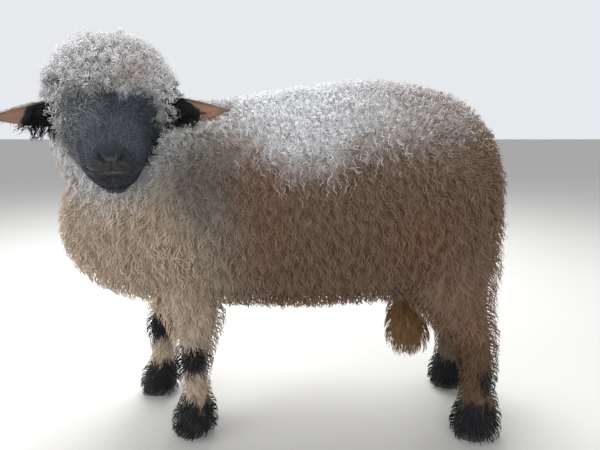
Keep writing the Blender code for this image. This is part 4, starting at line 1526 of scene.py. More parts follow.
            angle = np.arctan2(width, cup + 0.008) / (2 * math.pi) + 0.5
            here = parts == part.value
            length = np.where(here, (out + 0.02) / 0.18, length)
            turn = np.where(here, (angle + half) / 2, turn)
        return 0.01 + 0.98 * np.clip(np.stack((length, turn), -1), 0.0, 1.0)

    def ears(self, points: np.ndarray, out: np.ndarray, parts: np.ndarray) -> dict[str, np.ndarray]:
        """Black wool at the roots of the ears and bare skin towards their tips.

        Args:
            points: places in the body frame.
            out: outward directions.
            parts: the value of each point's part.

        Returns:
            The shares of black, of bare skin and of its darker edge at each point.
        """
        black = np.zeros(len(points))
        bare = np.zeros(len(points))
        edge = np.zeros(len(points))
        for part in EAR_PARTS:
            here = parts == part.value
            length, width, _ = self.head.on_ear(points, part)
            ragged = 0.010 * drift(points, 0.014, 12)
            inner = smoothstep(0.0, 0.4, out @ self.head.ear_frame(part)[1][2])
            wool = smoothstep(0.007, -0.004, length + 0.6 * width + 0.5 * ragged - 0.076)
            black = np.where(here, wool, black)
            bare = np.where(here, 1.0, bare)
            rim = np.maximum(smoothstep(0.018, 0.030, np.abs(width)), smoothstep(0.105, 0.14, length))
            edge = np.where(here, np.maximum(0.75 * rim, 0.85 * (1 - inner)), edge)
        return {"black": black, "bare": bare * (1 - black), "edge": edge}


class Size(Enum):
    """What sets the shape of a strand, in the order of the rows of the coat's table."""

    APART = "distance between neighbouring strands at their roots"
    CLUMP = "distance between neighbouring locks"
    STAND = "height over the skin"
    REACH = "distance run along the skin"
    WAVE = "radius of its curl"
    LOOP = "roundness of its curl, from a flat wave to a corkscrew"
    TURNS = "turns of its curl"
    HOOK = "more turns at the tip"
    WIDTH = "width"
    GATHER = "share of the way that the tips of a lock draw together"


Sizes = dict[Size, np.ndarray]


@dataclass(frozen=True)
class CoatPlan:
    """Sizes of the coat's strands by region; each row follows the members of Size."""

    flank: tuple[float, ...] = (0.0052, 0.0108, 0.022, 0.026, 0.0024, 0.75, 1.6, 0.40, 0.0026, 0.42)
    back: tuple[float, ...] = (0.0053, 0.0088, 0.022, 0.007, 0.0032, 1.00, 0.6, 1.10, 0.0024, 0.66)
    neck: tuple[float, ...] = (0.0052, 0.0108, 0.022, 0.022, 0.0024, 0.75, 1.5, 0.40, 0.0026, 0.42)
    cap: tuple[float, ...] = (0.0044, 0.0105, 0.029, 0.010, 0.0042, 1.00, 0.7, 1.10, 0.0024, 0.72)
    tail: tuple[float, ...] = (0.0066, 0.0140, 0.018, 0.032, 0.0028, 0.60, 1.8, 0.30, 0.0030, 0.50)
    scrotum: tuple[float, ...] = (0.0054, 0.0130, 0.013, 0.036, 0.0010, 0.50, 0.8, 0.10, 0.0022, 0.45)
    ear: tuple[float, ...] = (0.0034, 0.0085, 0.014, 0.031, 0.0021, 0.80, 1.2, 0.50, 0.0018, 0.45)
    # Down the legs, by height; on the head, by distance behind the nose.
    legs: Rows = (
        (0.030, 0.0055, 0.0100, 0.010, 0.014, 0.0012, 0.60, 0.8, 0.20, 0.0024, 0.40),
        (0.120, 0.0053, 0.0098, 0.010, 0.015, 0.0015, 0.60, 0.9, 0.30, 0.0024, 0.40),
        (0.300, 0.0064, 0.0115, 0.021, 0.025, 0.0026, 0.65, 1.7, 0.40, 0.0029, 0.45),
    )
    face: Rows = (
        (0.000, 0.0048, 0.0080, 0.0022, 0.0036, 0.0003, 0.50, 0.4, 0.10, 0.0010, 0.20),
        (0.050, 0.0040, 0.0074, 0.0040, 0.0050, 0.0010, 0.70, 0.7, 0.40, 0.0013, 0.40),
        (0.110, 0.0041, 0.0082, 0.0085, 0.0075, 0.0019, 1.00, 0.6, 0.60, 0.0017, 0.50),
        (0.160, 0.0043, 0.0092, 0.0170, 0.0095, 0.0033, 1.00, 0.7, 0.85, 0.0022, 0.62),
    )

    def at(self, points: np.ndarray, out: np.ndarray, parts: np.ndarray, back: np.ndarray) -> Sizes:
        """Sizes of a strand that grows at each point.

        Args:
            points: places on the skin.
            out: outward directions there.
            parts: the value of each point's part.
            back: distance of each point behind the nose.

        Returns:
            An array for each size.
        """
        top = smoothstep(0.20, 0.70, out[:, 2] + 0.20 * drift(points, 0.05, 8))
        top = top * smoothstep(0.45, 0.60, points[:, 2])
        single = ((Part.NECK, self.neck), (Part.CAP, self.cap), (Part.TAIL, self.tail),
                  (Part.SCROTUM, self.scrotum), (Part.EAR_LEFT, self.ear), (Part.EAR_RIGHT, self.ear))
        on_leg, skull = among(parts, LEG_PARTS), parts == Part.SKULL.value
        legs, face = np.array(self.legs), np.array(self.face)
        sizes = {}
        for index, size in enumerate(Size):
            value = self.flank[index] + (self.back[index] - self.flank[index]) * top
            for part, row in single:
                value = np.where(parts == part.value, row[index], value)
            value = np.where(on_leg, np.interp(points[:, 2], legs[:, 0], legs[:, index + 1]), value)
            sizes[size] = np.where(skull, np.interp(back, face[:, 0], face[:, index + 1]), value)
        under = (parts == Part.TORSO.value) * smoothstep(-0.35, -0.65, out[:, 2])
        sizes[Size.APART] = sizes[Size.APART] * (1 + 0.32 * under)
        sizes[Size.WIDTH] = sizes[Size.WIDTH] * (1 + 0.15 * under)
        return sizes

    def curl_cheek(self, sizes: Sizes, parts: np.ndarray, back: np.ndarray, aside: np.ndarray) -> None:
        """Curlier wool on the right half of the face.

        Args:
            sizes: the sizes, changed in place.
            parts: the value of each strand's part.
            back: distance of each strand's root behind the nose.
            aside: its distance to the left of the nose.
        """
        curly = smoothstep(0.004, -0.022, aside) * smoothstep(0.012, 0.050, back)
        curly = curly * (parts == Part.SKULL.value)
        added = {Size.STAND: 0.0045, Size.REACH: 0.0030, Size.WAVE: 0.0014, Size.LOOP: 0.3, Size.HOOK: 0.30,
                 Size.WIDTH: 0.0005}
        for size, more in added.items():
            sizes[size] = sizes[size] + more * curly

    def trim_ears(self, sizes: Sizes, parts: np.ndarray, length: np.ndarray, width: np.ndarray) -> None:
        """Short fur on the outer part and the upper edge of the ears, past the wool at their roots.

        Args:
            sizes: the sizes, changed in place.
            parts: the value of each strand's part.
            length: distance of each strand's root along its ear.
            width: its distance above the middle of the ear.
        """
        upper = smoothstep(0.004, 0.018, width) * smoothstep(0.0, 0.03, length)
        far = np.maximum(smoothstep(0.074, 0.092, length), upper)
        far = far * among(parts, EAR_PARTS)
        short = {Size.STAND: 0.0020, Size.REACH: 0.0065, Size.WAVE: 0.0004, Size.WIDTH: 0.0009}
        for size, value in short.items():
            sizes[size] = sizes[size] * (1 - far) + value * far


@dataclass
class Strands:
    """A row for each strand of the coat: root, part, directions, its lock's root and number, and sizes."""

    root: np.ndarray
    part: np.ndarray
    out: np.ndarray
    lie: np.ndarray
    home: np.ndarray
    lock: np.ndarray
    sizes: Sizes

    def chosen(self, mask: np.ndarray) -> "Strands":
        """The strands that a mask picks."""
        sizes = {size: value[mask] for size, value in self.sizes.items()}
        rows = (self.root, self.part, self.out, self.lie, self.home, self.lock)
        return Strands(*(row[mask] for row in rows), sizes)


@dataclass
class Grower:
    """Spreads the roots of the coat over the skin and gathers them into locks."""

    plan: CoatPlan
    markings: Markings
    skin: bpy.types.Object
    where: PartMap
    seed: int = 11
    tries_each: float = 7.0
    swing: float = 0.24

    @property
    def head(self) -> HeadPlan:
        """The head's plan."""
        return self.markings.head

    def bald(self, points: np.ndarray, out: np.ndarray, parts: np.ndarray) -> np.ndarray:
        """Where nothing grows: nose, lips, eyes, the ears' bare ends and the soles.

        Args:
            points: places on the skin.
            out: outward directions there.
            parts: the value of each point's part.

        Returns:
            A yes or no for each point.
        """
        skull = parts == Part.SKULL.value
        bald = (self.markings.bare_nose(points) > 0.5) & skull
        bald |= self.markings.near_eye(points, 1.3)
        for part in EAR_PARTS:
            length, width, _ = self.head.on_ear(points, part)
            inner = out @ self.head.ear_frame(part)[1][2] > 0.2
            bald |= (parts == part.value) & (length > np.where(inner, 0.067 - 0.6 * width, 0.150))
        return bald | (points[:, 2] < 0.016)

    def roots(self) -> tuple[np.ndarray, np.ndarray, np.ndarray]:
        """Many points at random on the skin, denser where the coat is.

        Returns:
            Their places, outward directions and parts.
        """
        data = self.skin.data
        data.calc_loop_triangles()
        corners = numbers_of(data.loop_triangles, "vertices", 3, np.int32)
        places, normals = points_of(data), normals_of(data)
        a, b, c = (places[corners[:, index]] for index in range(3))
        areas = np.linalg.norm(np.cross(b - a, c - a), axis=1) / 2
        middle = (a + b + c) / 3
        out = unit(normals[corners].mean(1))
        part = self.where.parts_at(middle)
        apart = self.plan.at(middle, out, part, self.head.measured(middle)[:, 0])[Size.APART]
        weight = np.where(self.bald(middle, out, part), 0.0, areas / apart**2)
        draw = np.random.default_rng(self.seed)
        count = int(weight.sum() * self.tries_each)
        picked = draw.choice(len(areas), count, p=weight / weight.sum())
        first, second = draw.random(count), draw.random(count)
        flip = first + second > 1
        first, second = np.where(flip, 1 - first, first), np.where(flip, 1 - second, second)
        shares = np.stack((1 - first - second, first, second), -1)[:, :, None]
        points = (places[corners[picked]] * shares).sum(1)
        return points, unit((normals[corners[picked]] * shares).sum(1)), part[picked]

    @staticmethod
    def thinned(points: np.ndarray, apart: np.ndarray) -> np.ndarray:
        """Picks points so that none is nearer another than its spacing.

        Args:
            points: places, in the order in which they are tried.
            apart: the spacing at each.

        Returns:
            The indices of the points that are kept.
        """
        cell = float(apart.max())
        grid: dict[tuple[int, int, int], list[int]] = {}
        cells = np.floor(points / cell).astype(int)
        steps = [(i, j, k) for i in (-1, 0, 1) for j in (-1, 0, 1) for k in (-1, 0, 1)]
        rows = points.tolist()
        gaps = (apart**2).tolist()
        kept = []
        for index, (i, j, k) in enumerate(cells.tolist()):
            x, y, z = rows[index]
            gap = gaps[index]
            for di, dj, dk in steps:
                for other in grid.get((i + di, j + dj, k + dk), ()):
                    u, v, w = rows[other]
                    if (x - u) ** 2 + (y - v) ** 2 + (z - w) ** 2 < (gap + gaps[other]) / 2:
                        break
                else:
                    continue
                break
            else:
                kept.append(index)
                grid.setdefault((i, j, k), []).append(index)
        return np.array(kept)

    def lies(self, points: np.ndarray, out: np.ndarray, parts: np.ndarray) -> np.ndarray:
        """The way the coat lies.

        Args:
            points: the roots.
            out: outward directions there.
            parts: the value of each root's part.

        Returns:
            A direction along the skin for each root.
        """
        down = np.tile(np.array((-0.16, 0.0, -1.0)), (len(points), 1))
        top = smoothstep(0.55, 0.85, out[:, 2])[:, None]
        aside = np.stack((np.full(len(points), -0.7), np.sign(points[:, 1]) * 0.7, np.zeros(len(points))), -1)
        lie = down * (1 - top) + aside * top
        chest = smoothstep(0.3, 0.7, out[:, 0])[:, None]
        lie = lie * (1 - chest) + np.array((0.1, 0.0, -1.0)) * chest
        crown = self.head.point(self.head.cap_back + 0.03, 0.0, self.head.cap_up + self.head.cap_half[2])
        fall = unit(points - crown) + np.array((0.0, 0.0, -0.25))
        lie = np.where((parts == Part.CAP.value)[:, None], fall, lie)
        forward, _, above = self.head.axes()
        brow = unit(-forward + above * 0.3)
        lie = np.where((parts == Part.SKULL.value)[:, None], np.tile(brow, (len(points), 1)), lie)
        for part in LEG_PARTS + (Part.TAIL, Part.SCROTUM):
            lie = np.where((parts == part.value)[:, None], np.array((0.0, 0.0, -1.0)), lie)
        for part in EAR_PARTS:
            root, axes = self.head.ear_frame(part)
            length = ((points - root) @ axes[0])[:, None]
            hang = axes[0] * (0.35 + 6.0 * np.clip(length - 0.03, 0, 0.1)) - UP * 0.9
            lie = np.where((parts == part.value)[:, None], hang, lie)
        return unit(lie - out * (lie * out).sum(-1, keepdims=True))

    def near_ear(self, strands: Strands) -> np.ndarray:
        """Finds the body's strands that an ear presses down.

        Args:
            strands: all strands.

        Returns:
            A yes or no for each.
        """
        body = ~among(strands.part, EAR_PARTS + HEAD_PARTS)
        near = np.zeros(len(body), bool)
        for share in (0.3, 0.6, 1.0):
            point = strands.root + strands.out * (strands.sizes[Size.STAND] * share)[:, None]
            for part in EAR_PARTS:
                length, width, cup = self.head.on_ear(point, part)
                level = (length > -0.005) & (length < 0.148) & (np.abs(width) < 0.040)
                near |= level & (cup > -0.020) & (cup < 0.040)
        return near & body

    def build(self) -> Strands:
        """Plants the coat, gathers it into locks and combs it.

        Returns:
            All strands of the coat.
        """
        points, out, parts = self.roots()
        sizes = self.plan.at(points, out, parts, self.head.measured(points)[:, 0])
        own = self.thinned(points, sizes[Size.APART])
        heads = self.thinned(points, sizes[Size.CLUMP])
        tree = search_tree(points[heads])
        lock = np.array([tree.find(point)[1] for point in points[own]])
        home = heads[lock]
        draw = np.random.default_rng(self.seed + 1)
        lie = self.lies(points[heads], out[heads], parts[heads])
        swing = draw.normal(0.0, self.swing, len(heads)) + 0.30 * drift(points[heads], 0.05, 9)
        lie = lie * np.cos(swing)[:, None] + np.cross(out[heads], lie) * np.sin(swing)[:, None]
        facing = unit(out[own] + out[home] * 0.8)
        lie = lie[lock]
        lie = unit(lie - facing * (lie * facing).sum(-1, keepdims=True))
        grow = draw.uniform(0.84, 1.08, len(heads))[lock]
        kept = {size: value[own] for size, value in sizes.items()}
        kept[Size.STAND] = kept[Size.STAND] * grow
        kept[Size.REACH] = kept[Size.REACH] * draw.uniform(0.75, 1.2, len(heads))[lock]
        for part in EAR_PARTS:
            here = parts[own] == part.value
            length, width, _ = self.head.on_ear(points[own], part)
            self.plan.trim_ears(kept, parts[own], np.where(here, length, 0.0), np.where(here, width, -0.03))
        back, aside, _ = self.head.measured(points[own]).T
        self.plan.curl_cheek(kept, parts[own], back, aside)
        strands = Strands(points[own], parts[own], facing, lie, points[home], lock, kept)
        pressed = self.near_ear(strands)
        for size, value in ((Size.STAND, 0.007), (Size.REACH, 0.014)):
            strands.sizes[size] = np.where(pressed, value, strands.sizes[size])
        log.info("coat: %d strands in %d locks", len(strands.root), len(heads))
        return strands


class Weave(Enum):
    """How finely strands are drawn: points along one."""

    COILED = 12
    WAVY = 10
    PLAIN = 8
    SHORT = 7


@dataclass
class Weaver:
    """Turns strands into solid mesh: tapered tubes that curl with their lock, and a few loose fibres."""

    markings: Markings
    sides: int = 3
    seed: int = 23
    sink: float = 0.004
    loose_share: float = 0.24
    patch: float = 0.003

    def drawn(self, strands: Strands) -> dict[str, np.ndarray]:
        """Draws what differs from strand to strand.

        Args:
            strands: where and how the coat grows.

        Returns:
            An array for each size, and for the phase, spin and shade of each strand.
        """
        draw = np.random.default_rng(self.seed)
        count = len(strands.root)
        locks = int(strands.lock.max()) + 1
        phase = draw.uniform(0, 2 * math.pi, locks)[strands.lock]
        spin = np.sign(draw.uniform(-1, 1, locks))[strands.lock]
        shade = draw.uniform(0.0, 1.0, locks)[strands.lock]
        loose = draw.random(count) < self.loose_share
        scatter = np.where(loose, 2.0, 0.35)
        jitter = {size: draw.uniform(0.86, 1.12, count) for size in Size}
        jitter[Size.STAND] *= np.where(loose, 1.16, 1.0)
        jitter[Size.WAVE] *= np.where(loose, 1.25, 1.0)
        jitter[Size.WIDTH] *= np.where(loose, 0.32, 1.0)
        jitter[Size.GATHER] *= np.where(loose, 0.4, 1.0)
        values = {size: strands.sizes[size] * jitter[size] for size in Size}
        return {
            "phase": phase + draw.normal(0.0, 1.0, count) * scatter,
            "spin": spin,
            "shade": shade * 0.65 + draw.uniform(0, 0.35, count),
            **values,
        }

    def paths(self, strands: Strands, rows: dict[Any, np.ndarray],
              points: int) -> tuple[np.ndarray, np.ndarray]:
        """Where the strands run.

        Args:
            strands: where and how the coat grows.
            rows: what was drawn for each strand.
            points: how many points each has.

        Returns:
            The middle line of each strand, and its half width at each point.
        """
        t = (1 - (1 - np.linspace(0.0, 1.0, points)) ** 1.35)[None, :]
        size = {key: rows[key][:, None] for key in Size}
        out, lie = strands.out[:, None, :], strands.lie[:, None, :]
        across = np.cross(out, lie)
        rise = size[Size.STAND] * (1 - (1 - t) ** 1.7) - self.sink * (1 - t) ** 4
        run = size[Size.REACH] * t**1.5
        drawn_in = size[Size.GATHER] * t**0.9
        middle = strands.root[:, None, :] + (strands.home - strands.root)[:, None, :] * drawn_in[..., None]
        middle = middle + out * rise[..., None] + lie * run[..., None]
        climb = size[Size.STAND] * 1.7 * (1 - t) ** 0.7 + 0.003
        slide = size[Size.REACH] * 1.5 * t**0.5
        ahead = unit(out * climb[..., None] + lie * slide[..., None])
        third = np.cross(ahead, across)
        late = np.clip(t - 0.45, 0.0, 1.0) / 0.55
        angle = size[Size.TURNS] * t + size[Size.HOOK] * late**1.6
        turned = rows["phase"][:, None] + rows["spin"][:, None] * 2 * math.pi * angle
        swing = size[Size.WAVE] * np.clip(t / 0.3, 0.0, 1.0) * (1 - 0.22 * late)
        middle = middle + across * (swing * np.cos(turned))[..., None]
        middle = middle + third * (swing * size[Size.LOOP] * np.sin(turned))[..., None]
        half = size[Size.WIDTH] / 2 * (0.6 + 0.4 * np.clip(t / 0.35, 0, 1)) * (1 - 0.66 * t**3)
        return middle, half

    def mesh(self, name: str, strands: Strands, weave: Weave) -> bpy.types.Object:
        """The coat of some strands as one mesh object.

        Args:
            name: the piece's name.
            strands: where and how it grows.
            weave: how finely each strand is drawn.

        Returns:
            The object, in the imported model's frame, with its tones and its OFBake map.
        """
        rows = self.drawn(strands)
        middle, half = self.paths(strands, rows, weave.value)
        count, steps = half.shape
        along = unit(np.gradient(middle, axis=1))
        normal = np.cross(strands.out, strands.lie)
        flat = np.interp(rows[Size.WIDTH], (0.0020, 0.0034), (0.9, 0.5))[:, None]
        rings = np.empty((count, steps - 1, self.sides, 3))
        for step in range(steps - 1):
            way = along[:, step]
            normal = unit(normal - way * (normal * way).sum(-1, keepdims=True))
            other = np.cross(way, normal) * flat
            for side in range(self.sides):
                turn = 2 * math.pi * side / self.sides + math.pi / 2
                offset = normal * math.cos(turn) + other * math.sin(turn)
                rings[:, step, side] = middle[:, step] + offset * half[:, step, None]
        tips = middle[:, -1][:, None, :]
        each = (steps - 1) * self.sides + 1
        places = np.concatenate((rings.reshape(count, -1, 3), tips), axis=1).reshape(-1, 3)
        places[:, 2] = np.maximum(places[:, 2], 0.0006)
        data = self.faces(name, places, count, each)
        shares = np.append(np.repeat(np.arange(steps - 1) / (steps - 1), self.sides), 1.0)
        self.colour(data, strands, rows, shares)
        self.unwrap(data, strands, shares)
        data.shade_smooth()
        return link(bpy.data.objects.new(name, data))

    def faces(self, name: str, places: np.ndarray, count: int, each: int) -> bpy.types.Mesh:
        """The faces of all strands: quads between rings, triangles at the tip and one over the root.

        Args:
            name: the mesh's name.
            places: the points of all strands, in order.
            count: how many strands there are.
            each: how many points a strand has.

        Returns:
            The mesh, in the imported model's frame.
        """
        sides = self.sides
        side = np.arange(sides)
        after = (side + 1) % sides
        quads = []
        for ring in range((each - 1) // sides - 1):
            base, above = ring * sides, (ring + 1) * sides
            quads.append(np.stack((base + side, base + after, above + after, above + side), -1))
        last = each - 1 - sides
        tips = np.stack((last + side, last + after, np.full(sides, each - 1)), -1)
        triangles = np.concatenate((tips, side[::-1][None, :]))
        starts = np.arange(count)[:, None, None] * each
        quad_rows = (np.concatenate(quads)[None] + starts).reshape(-1, 4)
        triangle_rows = (triangles[None] + starts).reshape(-1, 3)
        data = bpy.data.meshes.new(name)
        data.vertices.add(len(places))
        data.vertices.foreach_set("co", (places + FRAME_SHIFT).astype(np.float32).ravel())
        loops = np.concatenate((quad_rows.ravel(), triangle_rows.ravel())).astype(np.int32)
        totals = np.concatenate((np.full(len(quad_rows), 4), np.full(len(triangle_rows), 3)))
        data.loops.add(len(loops))
        data.loops.foreach_set("vertex_index", loops)
        data.polygons.add(len(totals))
        begins = np.concatenate(([0], np.cumsum(totals)[:-1]))
        data.polygons.foreach_set("loop_start", begins.astype(np.int32))
        data.update(calc_edges=True)
        data.validate()
        return data

    def colour(self, data: bpy.types.Mesh, strands: Strands, rows: dict[Any, np.ndarray],
               shares: np.ndarray) -> None:
        """Gives every point its strand's tones, its share along the strand and its lock's shade.

        Args:
            data: the mesh of the strands.
            strands: where and how they grow.
            rows: what was drawn for each.
            shares: the share of each of a strand's points along it.
        """
        draw = np.random.default_rng(self.seed + 2)
        wide = among(strands.part, (Part.TORSO, Part.NECK))[:, None]
        fray = strands.root + draw.normal(0.0, 1.0, strands.root.shape) * np.where(wide, 0.012, 0.0035)
        tones = self.markings.of(fray, strands.out, strands.part)
        each = len(shares)
        for key, value in tones.items():
            store(data, key, np.repeat(value, each, axis=0))
        count = len(strands.root)
        side = np.tile(self.across(each), count)
        store(data, "growth", np.stack((np.tile(shares, count), rows["shade"].repeat(each), side), -1))

    def across(self, each: int) -> np.ndarray:
        """The share of each of a strand's points round it, with the tip in the middle."""
        ring = np.arange(self.sides) / (self.sides - 1)
        return np.append(np.tile(ring, (each - 1) // self.sides), 0.5)

    def unwrap(self, data: bpy.types.Mesh, strands: Strands, shares: np.ndarray) -> None:
        """Lays each strand as a small patch at its root's place on an unwrap of the skin.

        Args:
            data: the mesh of the strands.
            strands: where they grow.
            shares: the share of each of a strand's points along it.
        """
        centre = self.markings.unwrapped(strands.root, strands.part)
        side = self.across(len(shares))
        small = np.stack(((side - 0.5) * self.patch, (shares - 0.5) * self.patch), -1)
        add_bake_map(data, (centre[:, None, :] + small[None]).reshape(-1, 2))


@dataclass
class Fleece:
    """Parts the strands into pieces of a handy size and weaves each."""

    weaver: Weaver
    material: bpy.types.Material

    def pieces(self, strands: Strands) -> dict[str, tuple[np.ndarray, Weave]]:
        """Parts the coat.

        Args:
            strands: all strands.

        Returns:
            A mask of the strands of each piece and their weave, by the piece's name.
        """
        part, root, out = strands.part, strands.root, strands.out
        body = part == Part.TORSO.value
        back = body & (out[:, 2] > 0.35)
        belly = body & (out[:, 2] < -0.55) & (root[:, 0] < 0.18)
        chest = body & ~back & ~belly & (root[:, 0] >= 0.18)
        rump = body & ~back & ~belly & (root[:, 0] < -0.33)
        flank = body & ~back & ~belly & ~chest & ~rump
        left = root[:, 1] > 0
        hanging = among(part, (Part.TAIL, Part.SCROTUM))
        skull = part == Part.SKULL.value
        brow = self.weaver.markings.head.measured(root)[:, 0] > 0.080
        return {
            "coat_back_fore": (back & (root[:, 0] > -0.125), Weave.COILED),
            "coat_back_rear": (back & (root[:, 0] <= -0.125), Weave.COILED),
            "coat_chest": (chest, Weave.WAVY),
            "coat_belly": (belly, Weave.PLAIN),
            "coat_rump": (rump, Weave.WAVY),
            "coat_flank_left": (flank & left, Weave.WAVY),
            "coat_flank_right": (flank & ~left, Weave.WAVY),
            "coat_neck": (part == Part.NECK.value, Weave.WAVY),
            "coat_cap": (part == Part.CAP.value, Weave.COILED),
            "coat_brow": (skull & brow, Weave.WAVY),
            "coat_face": (skull & ~brow, Weave.SHORT),
            "coat_ears": (among(part, EAR_PARTS), Weave.PLAIN),
            "coat_legs_fore": (among(part, FORE_PARTS), Weave.SHORT),
            "coat_legs_hind": (among(part, HIND_PARTS), Weave.SHORT),
            "coat_tail_scrotum": (hanging, Weave.PLAIN),
        }

    def build(self, strands: Strands) -> list[bpy.types.Object]:
        """Weaves every piece of the coat.

        Args:
            strands: all strands.

        Returns:
            The pieces, with their material.
        """
        made = []
        for name, (mask, weave) in self.pieces(strands).items():
            piece = self.weaver.mesh(name, strands.chosen(mask), weave)
            piece.data.materials.append(self.material)
            made.append(piece)
            triangles = len(piece.data.loops) - 2 * len(piece.data.polygons)
            log.info("%s: %d strands, %d triangles", name, mask.sum(), triangles)
        return made


class Recipe(Chart):
    """A Geometry Nodes tree under construction, with named inputs."""

    def __init__(self, name: str, inputs: dict[str, tuple[str, Any]]) -> None:
        """Args:
            name: the tree's name.
            inputs: the kind of socket and the value of each named input after the mesh.
        """
        super().__init__(bpy.data.node_groups.new(name, "GeometryNodeTree"))
        self.values = {key: value for key, (_, value) in inputs.items()}
        face = self.tree.interface
        face.new_socket("Mesh", in_out="OUTPUT", socket_type="NodeSocketGeometry")
        face.new_socket("Mesh", in_out="INPUT", socket_type="NodeSocketGeometry")
        self.keys = {}
        for key, (kind, _) in inputs.items():
            self.keys[key] = face.new_socket(key, in_out="INPUT", socket_type=kind).identifier
        self.entry = self.tree.nodes.new("NodeGroupInput")
        self.exit = self.tree.nodes.new("NodeGroupOutput")

    def given(self, name: str) -> Signal:
        """One of the tree's inputs."""
        return Signal(self, self.entry.outputs[name])

    def carried(self, name: str, kind: str) -> Signal:
        """What the host carries under a name."""
        return self.node("GeometryNodeInputNamedAttribute", {"data_type": kind}, {"Name": name}, "Attribute")

    def kept(self, geometry: Signal, name: str, value: Signal) -> Signal:
        """The geometry with a number stored on each of its points."""
        settings = {"data_type": "FLOAT", "domain": "POINT"}
        inputs = {"Geometry": geometry, "Name": name, "Value": value}
        return self.node("GeometryNodeStoreNamedAttribute", settings, inputs)

    def random(self, kind: str, low: Any, high: Any) -> Signal:
        """A random value for each point, the same on every run."""
        inputs = {"Min": low, "Max": high, "Seed": self.given("Seed")}
        return self.node("FunctionNodeRandomValue", {"data_type": kind}, inputs)

    def place_of(self, x: Any, y: Any, z: Any) -> Signal:
        """A vector from three values."""
        return self.node("ShaderNodeCombineXYZ", {}, {0: x, 1: y, 2: z})

    def hair(self, length: Signal, width: Signal, steps: int) -> Signal:
        """One short tapered hair that rises along Z and leans over along X.

        Args:
            length: its length.
            width: its width at the root.
            steps: how many stretches it has.

        Returns:
            Its mesh, with the share along it stored as along.
        """
        curve = self.node("GeometryNodeCurveQuadraticBezier", {}, {
            "Resolution": steps,
            "Start": self.place_of(0.0, 0.0, length * -0.15),
            "Middle": self.place_of(length * 0.10, 0.0, length * 0.55),
            "End": self.place_of(length * 0.85, 0.0, length * 0.50),
        })
        along = self.node("GeometryNodeSplineParameter", {}, {}, "Factor")
        curve = self.kept(curve, "along", along)
        curve = self.node("GeometryNodeSetCurveRadius", {}, {"Curve": curve, "Radius": 1.0 - along * 0.85})
        inputs = {"Resolution": 3, "Radius": width * 0.5}
        ring = self.node("GeometryNodeCurvePrimitiveCircle", {"mode": "RADIUS"}, inputs, "Curve")
        inputs = {"Curve": curve, "Profile Curve": ring, "Fill Caps": True}
        return self.node("GeometryNodeCurveToMesh", {}, inputs)

    def planted(self, points: Signal, hair: Signal, normal: Any, lie: Any) -> Signal:
        """Plants a hair on each point, each a little different.

        Args:
            points: where they grow.
            hair: the hair.
            normal: the way it stands.
            lie: the way it leans.

        Returns:
            The instances, with a random shade stored on each.
        """
        turn = self.node("FunctionNodeAlignRotationToVector", {"axis": "Z"}, {"Vector": normal})
        turn = self.node("FunctionNodeAlignRotationToVector", {"axis": "X", "pivot_axis": "Z"}, {
            "Rotation": turn, "Vector": lie,
        })
        sway = self.random("FLOAT_VECTOR", (-0.30, -0.25, -0.55), (0.30, 0.25, 0.55))
        turn = self.node("FunctionNodeRotateRotation", {"rotation_space": "LOCAL"}, {
            "Rotation": turn,
            "Rotate By": self.node("FunctionNodeEulerToRotation", {}, {"Euler": sway}),
        })
        scale = self.random("FLOAT", 0.7, 1.25)
        points = self.kept(points, "shade", self.random("FLOAT", 0.0, 1.0))
        return self.node("GeometryNodeInstanceOnPoints", {}, {
            "Points": points, "Instance": hair, "Rotation": turn, "Scale": scale,
        })

    def finish(self, instances: Signal) -> None:
        """Ends the tree: the instances made real, in the material that is given."""
        real = self.node("GeometryNodeRealizeInstances", {}, {"Geometry": instances})
        inputs = {"Geometry": real, "Material": self.given("Material")}
        self.feed(self.exit.inputs[0], self.node("GeometryNodeSetMaterial", {}, inputs))

    def grown_on(self, host: bpy.types.Object, name: str) -> bpy.types.Object:
        """Runs the tree on a host, which is removed.

        Args:
            host: the mesh object that the tree starts from.
            name: the name of the result.

        Returns:
            A plain mesh object.
        """
        modifier = host.modifiers.new("grow", "NODES")
        modifier.node_group = self.tree
        for key, value in self.values.items():
            modifier[self.keys[key]] = value
        return shown_copy(host, name)


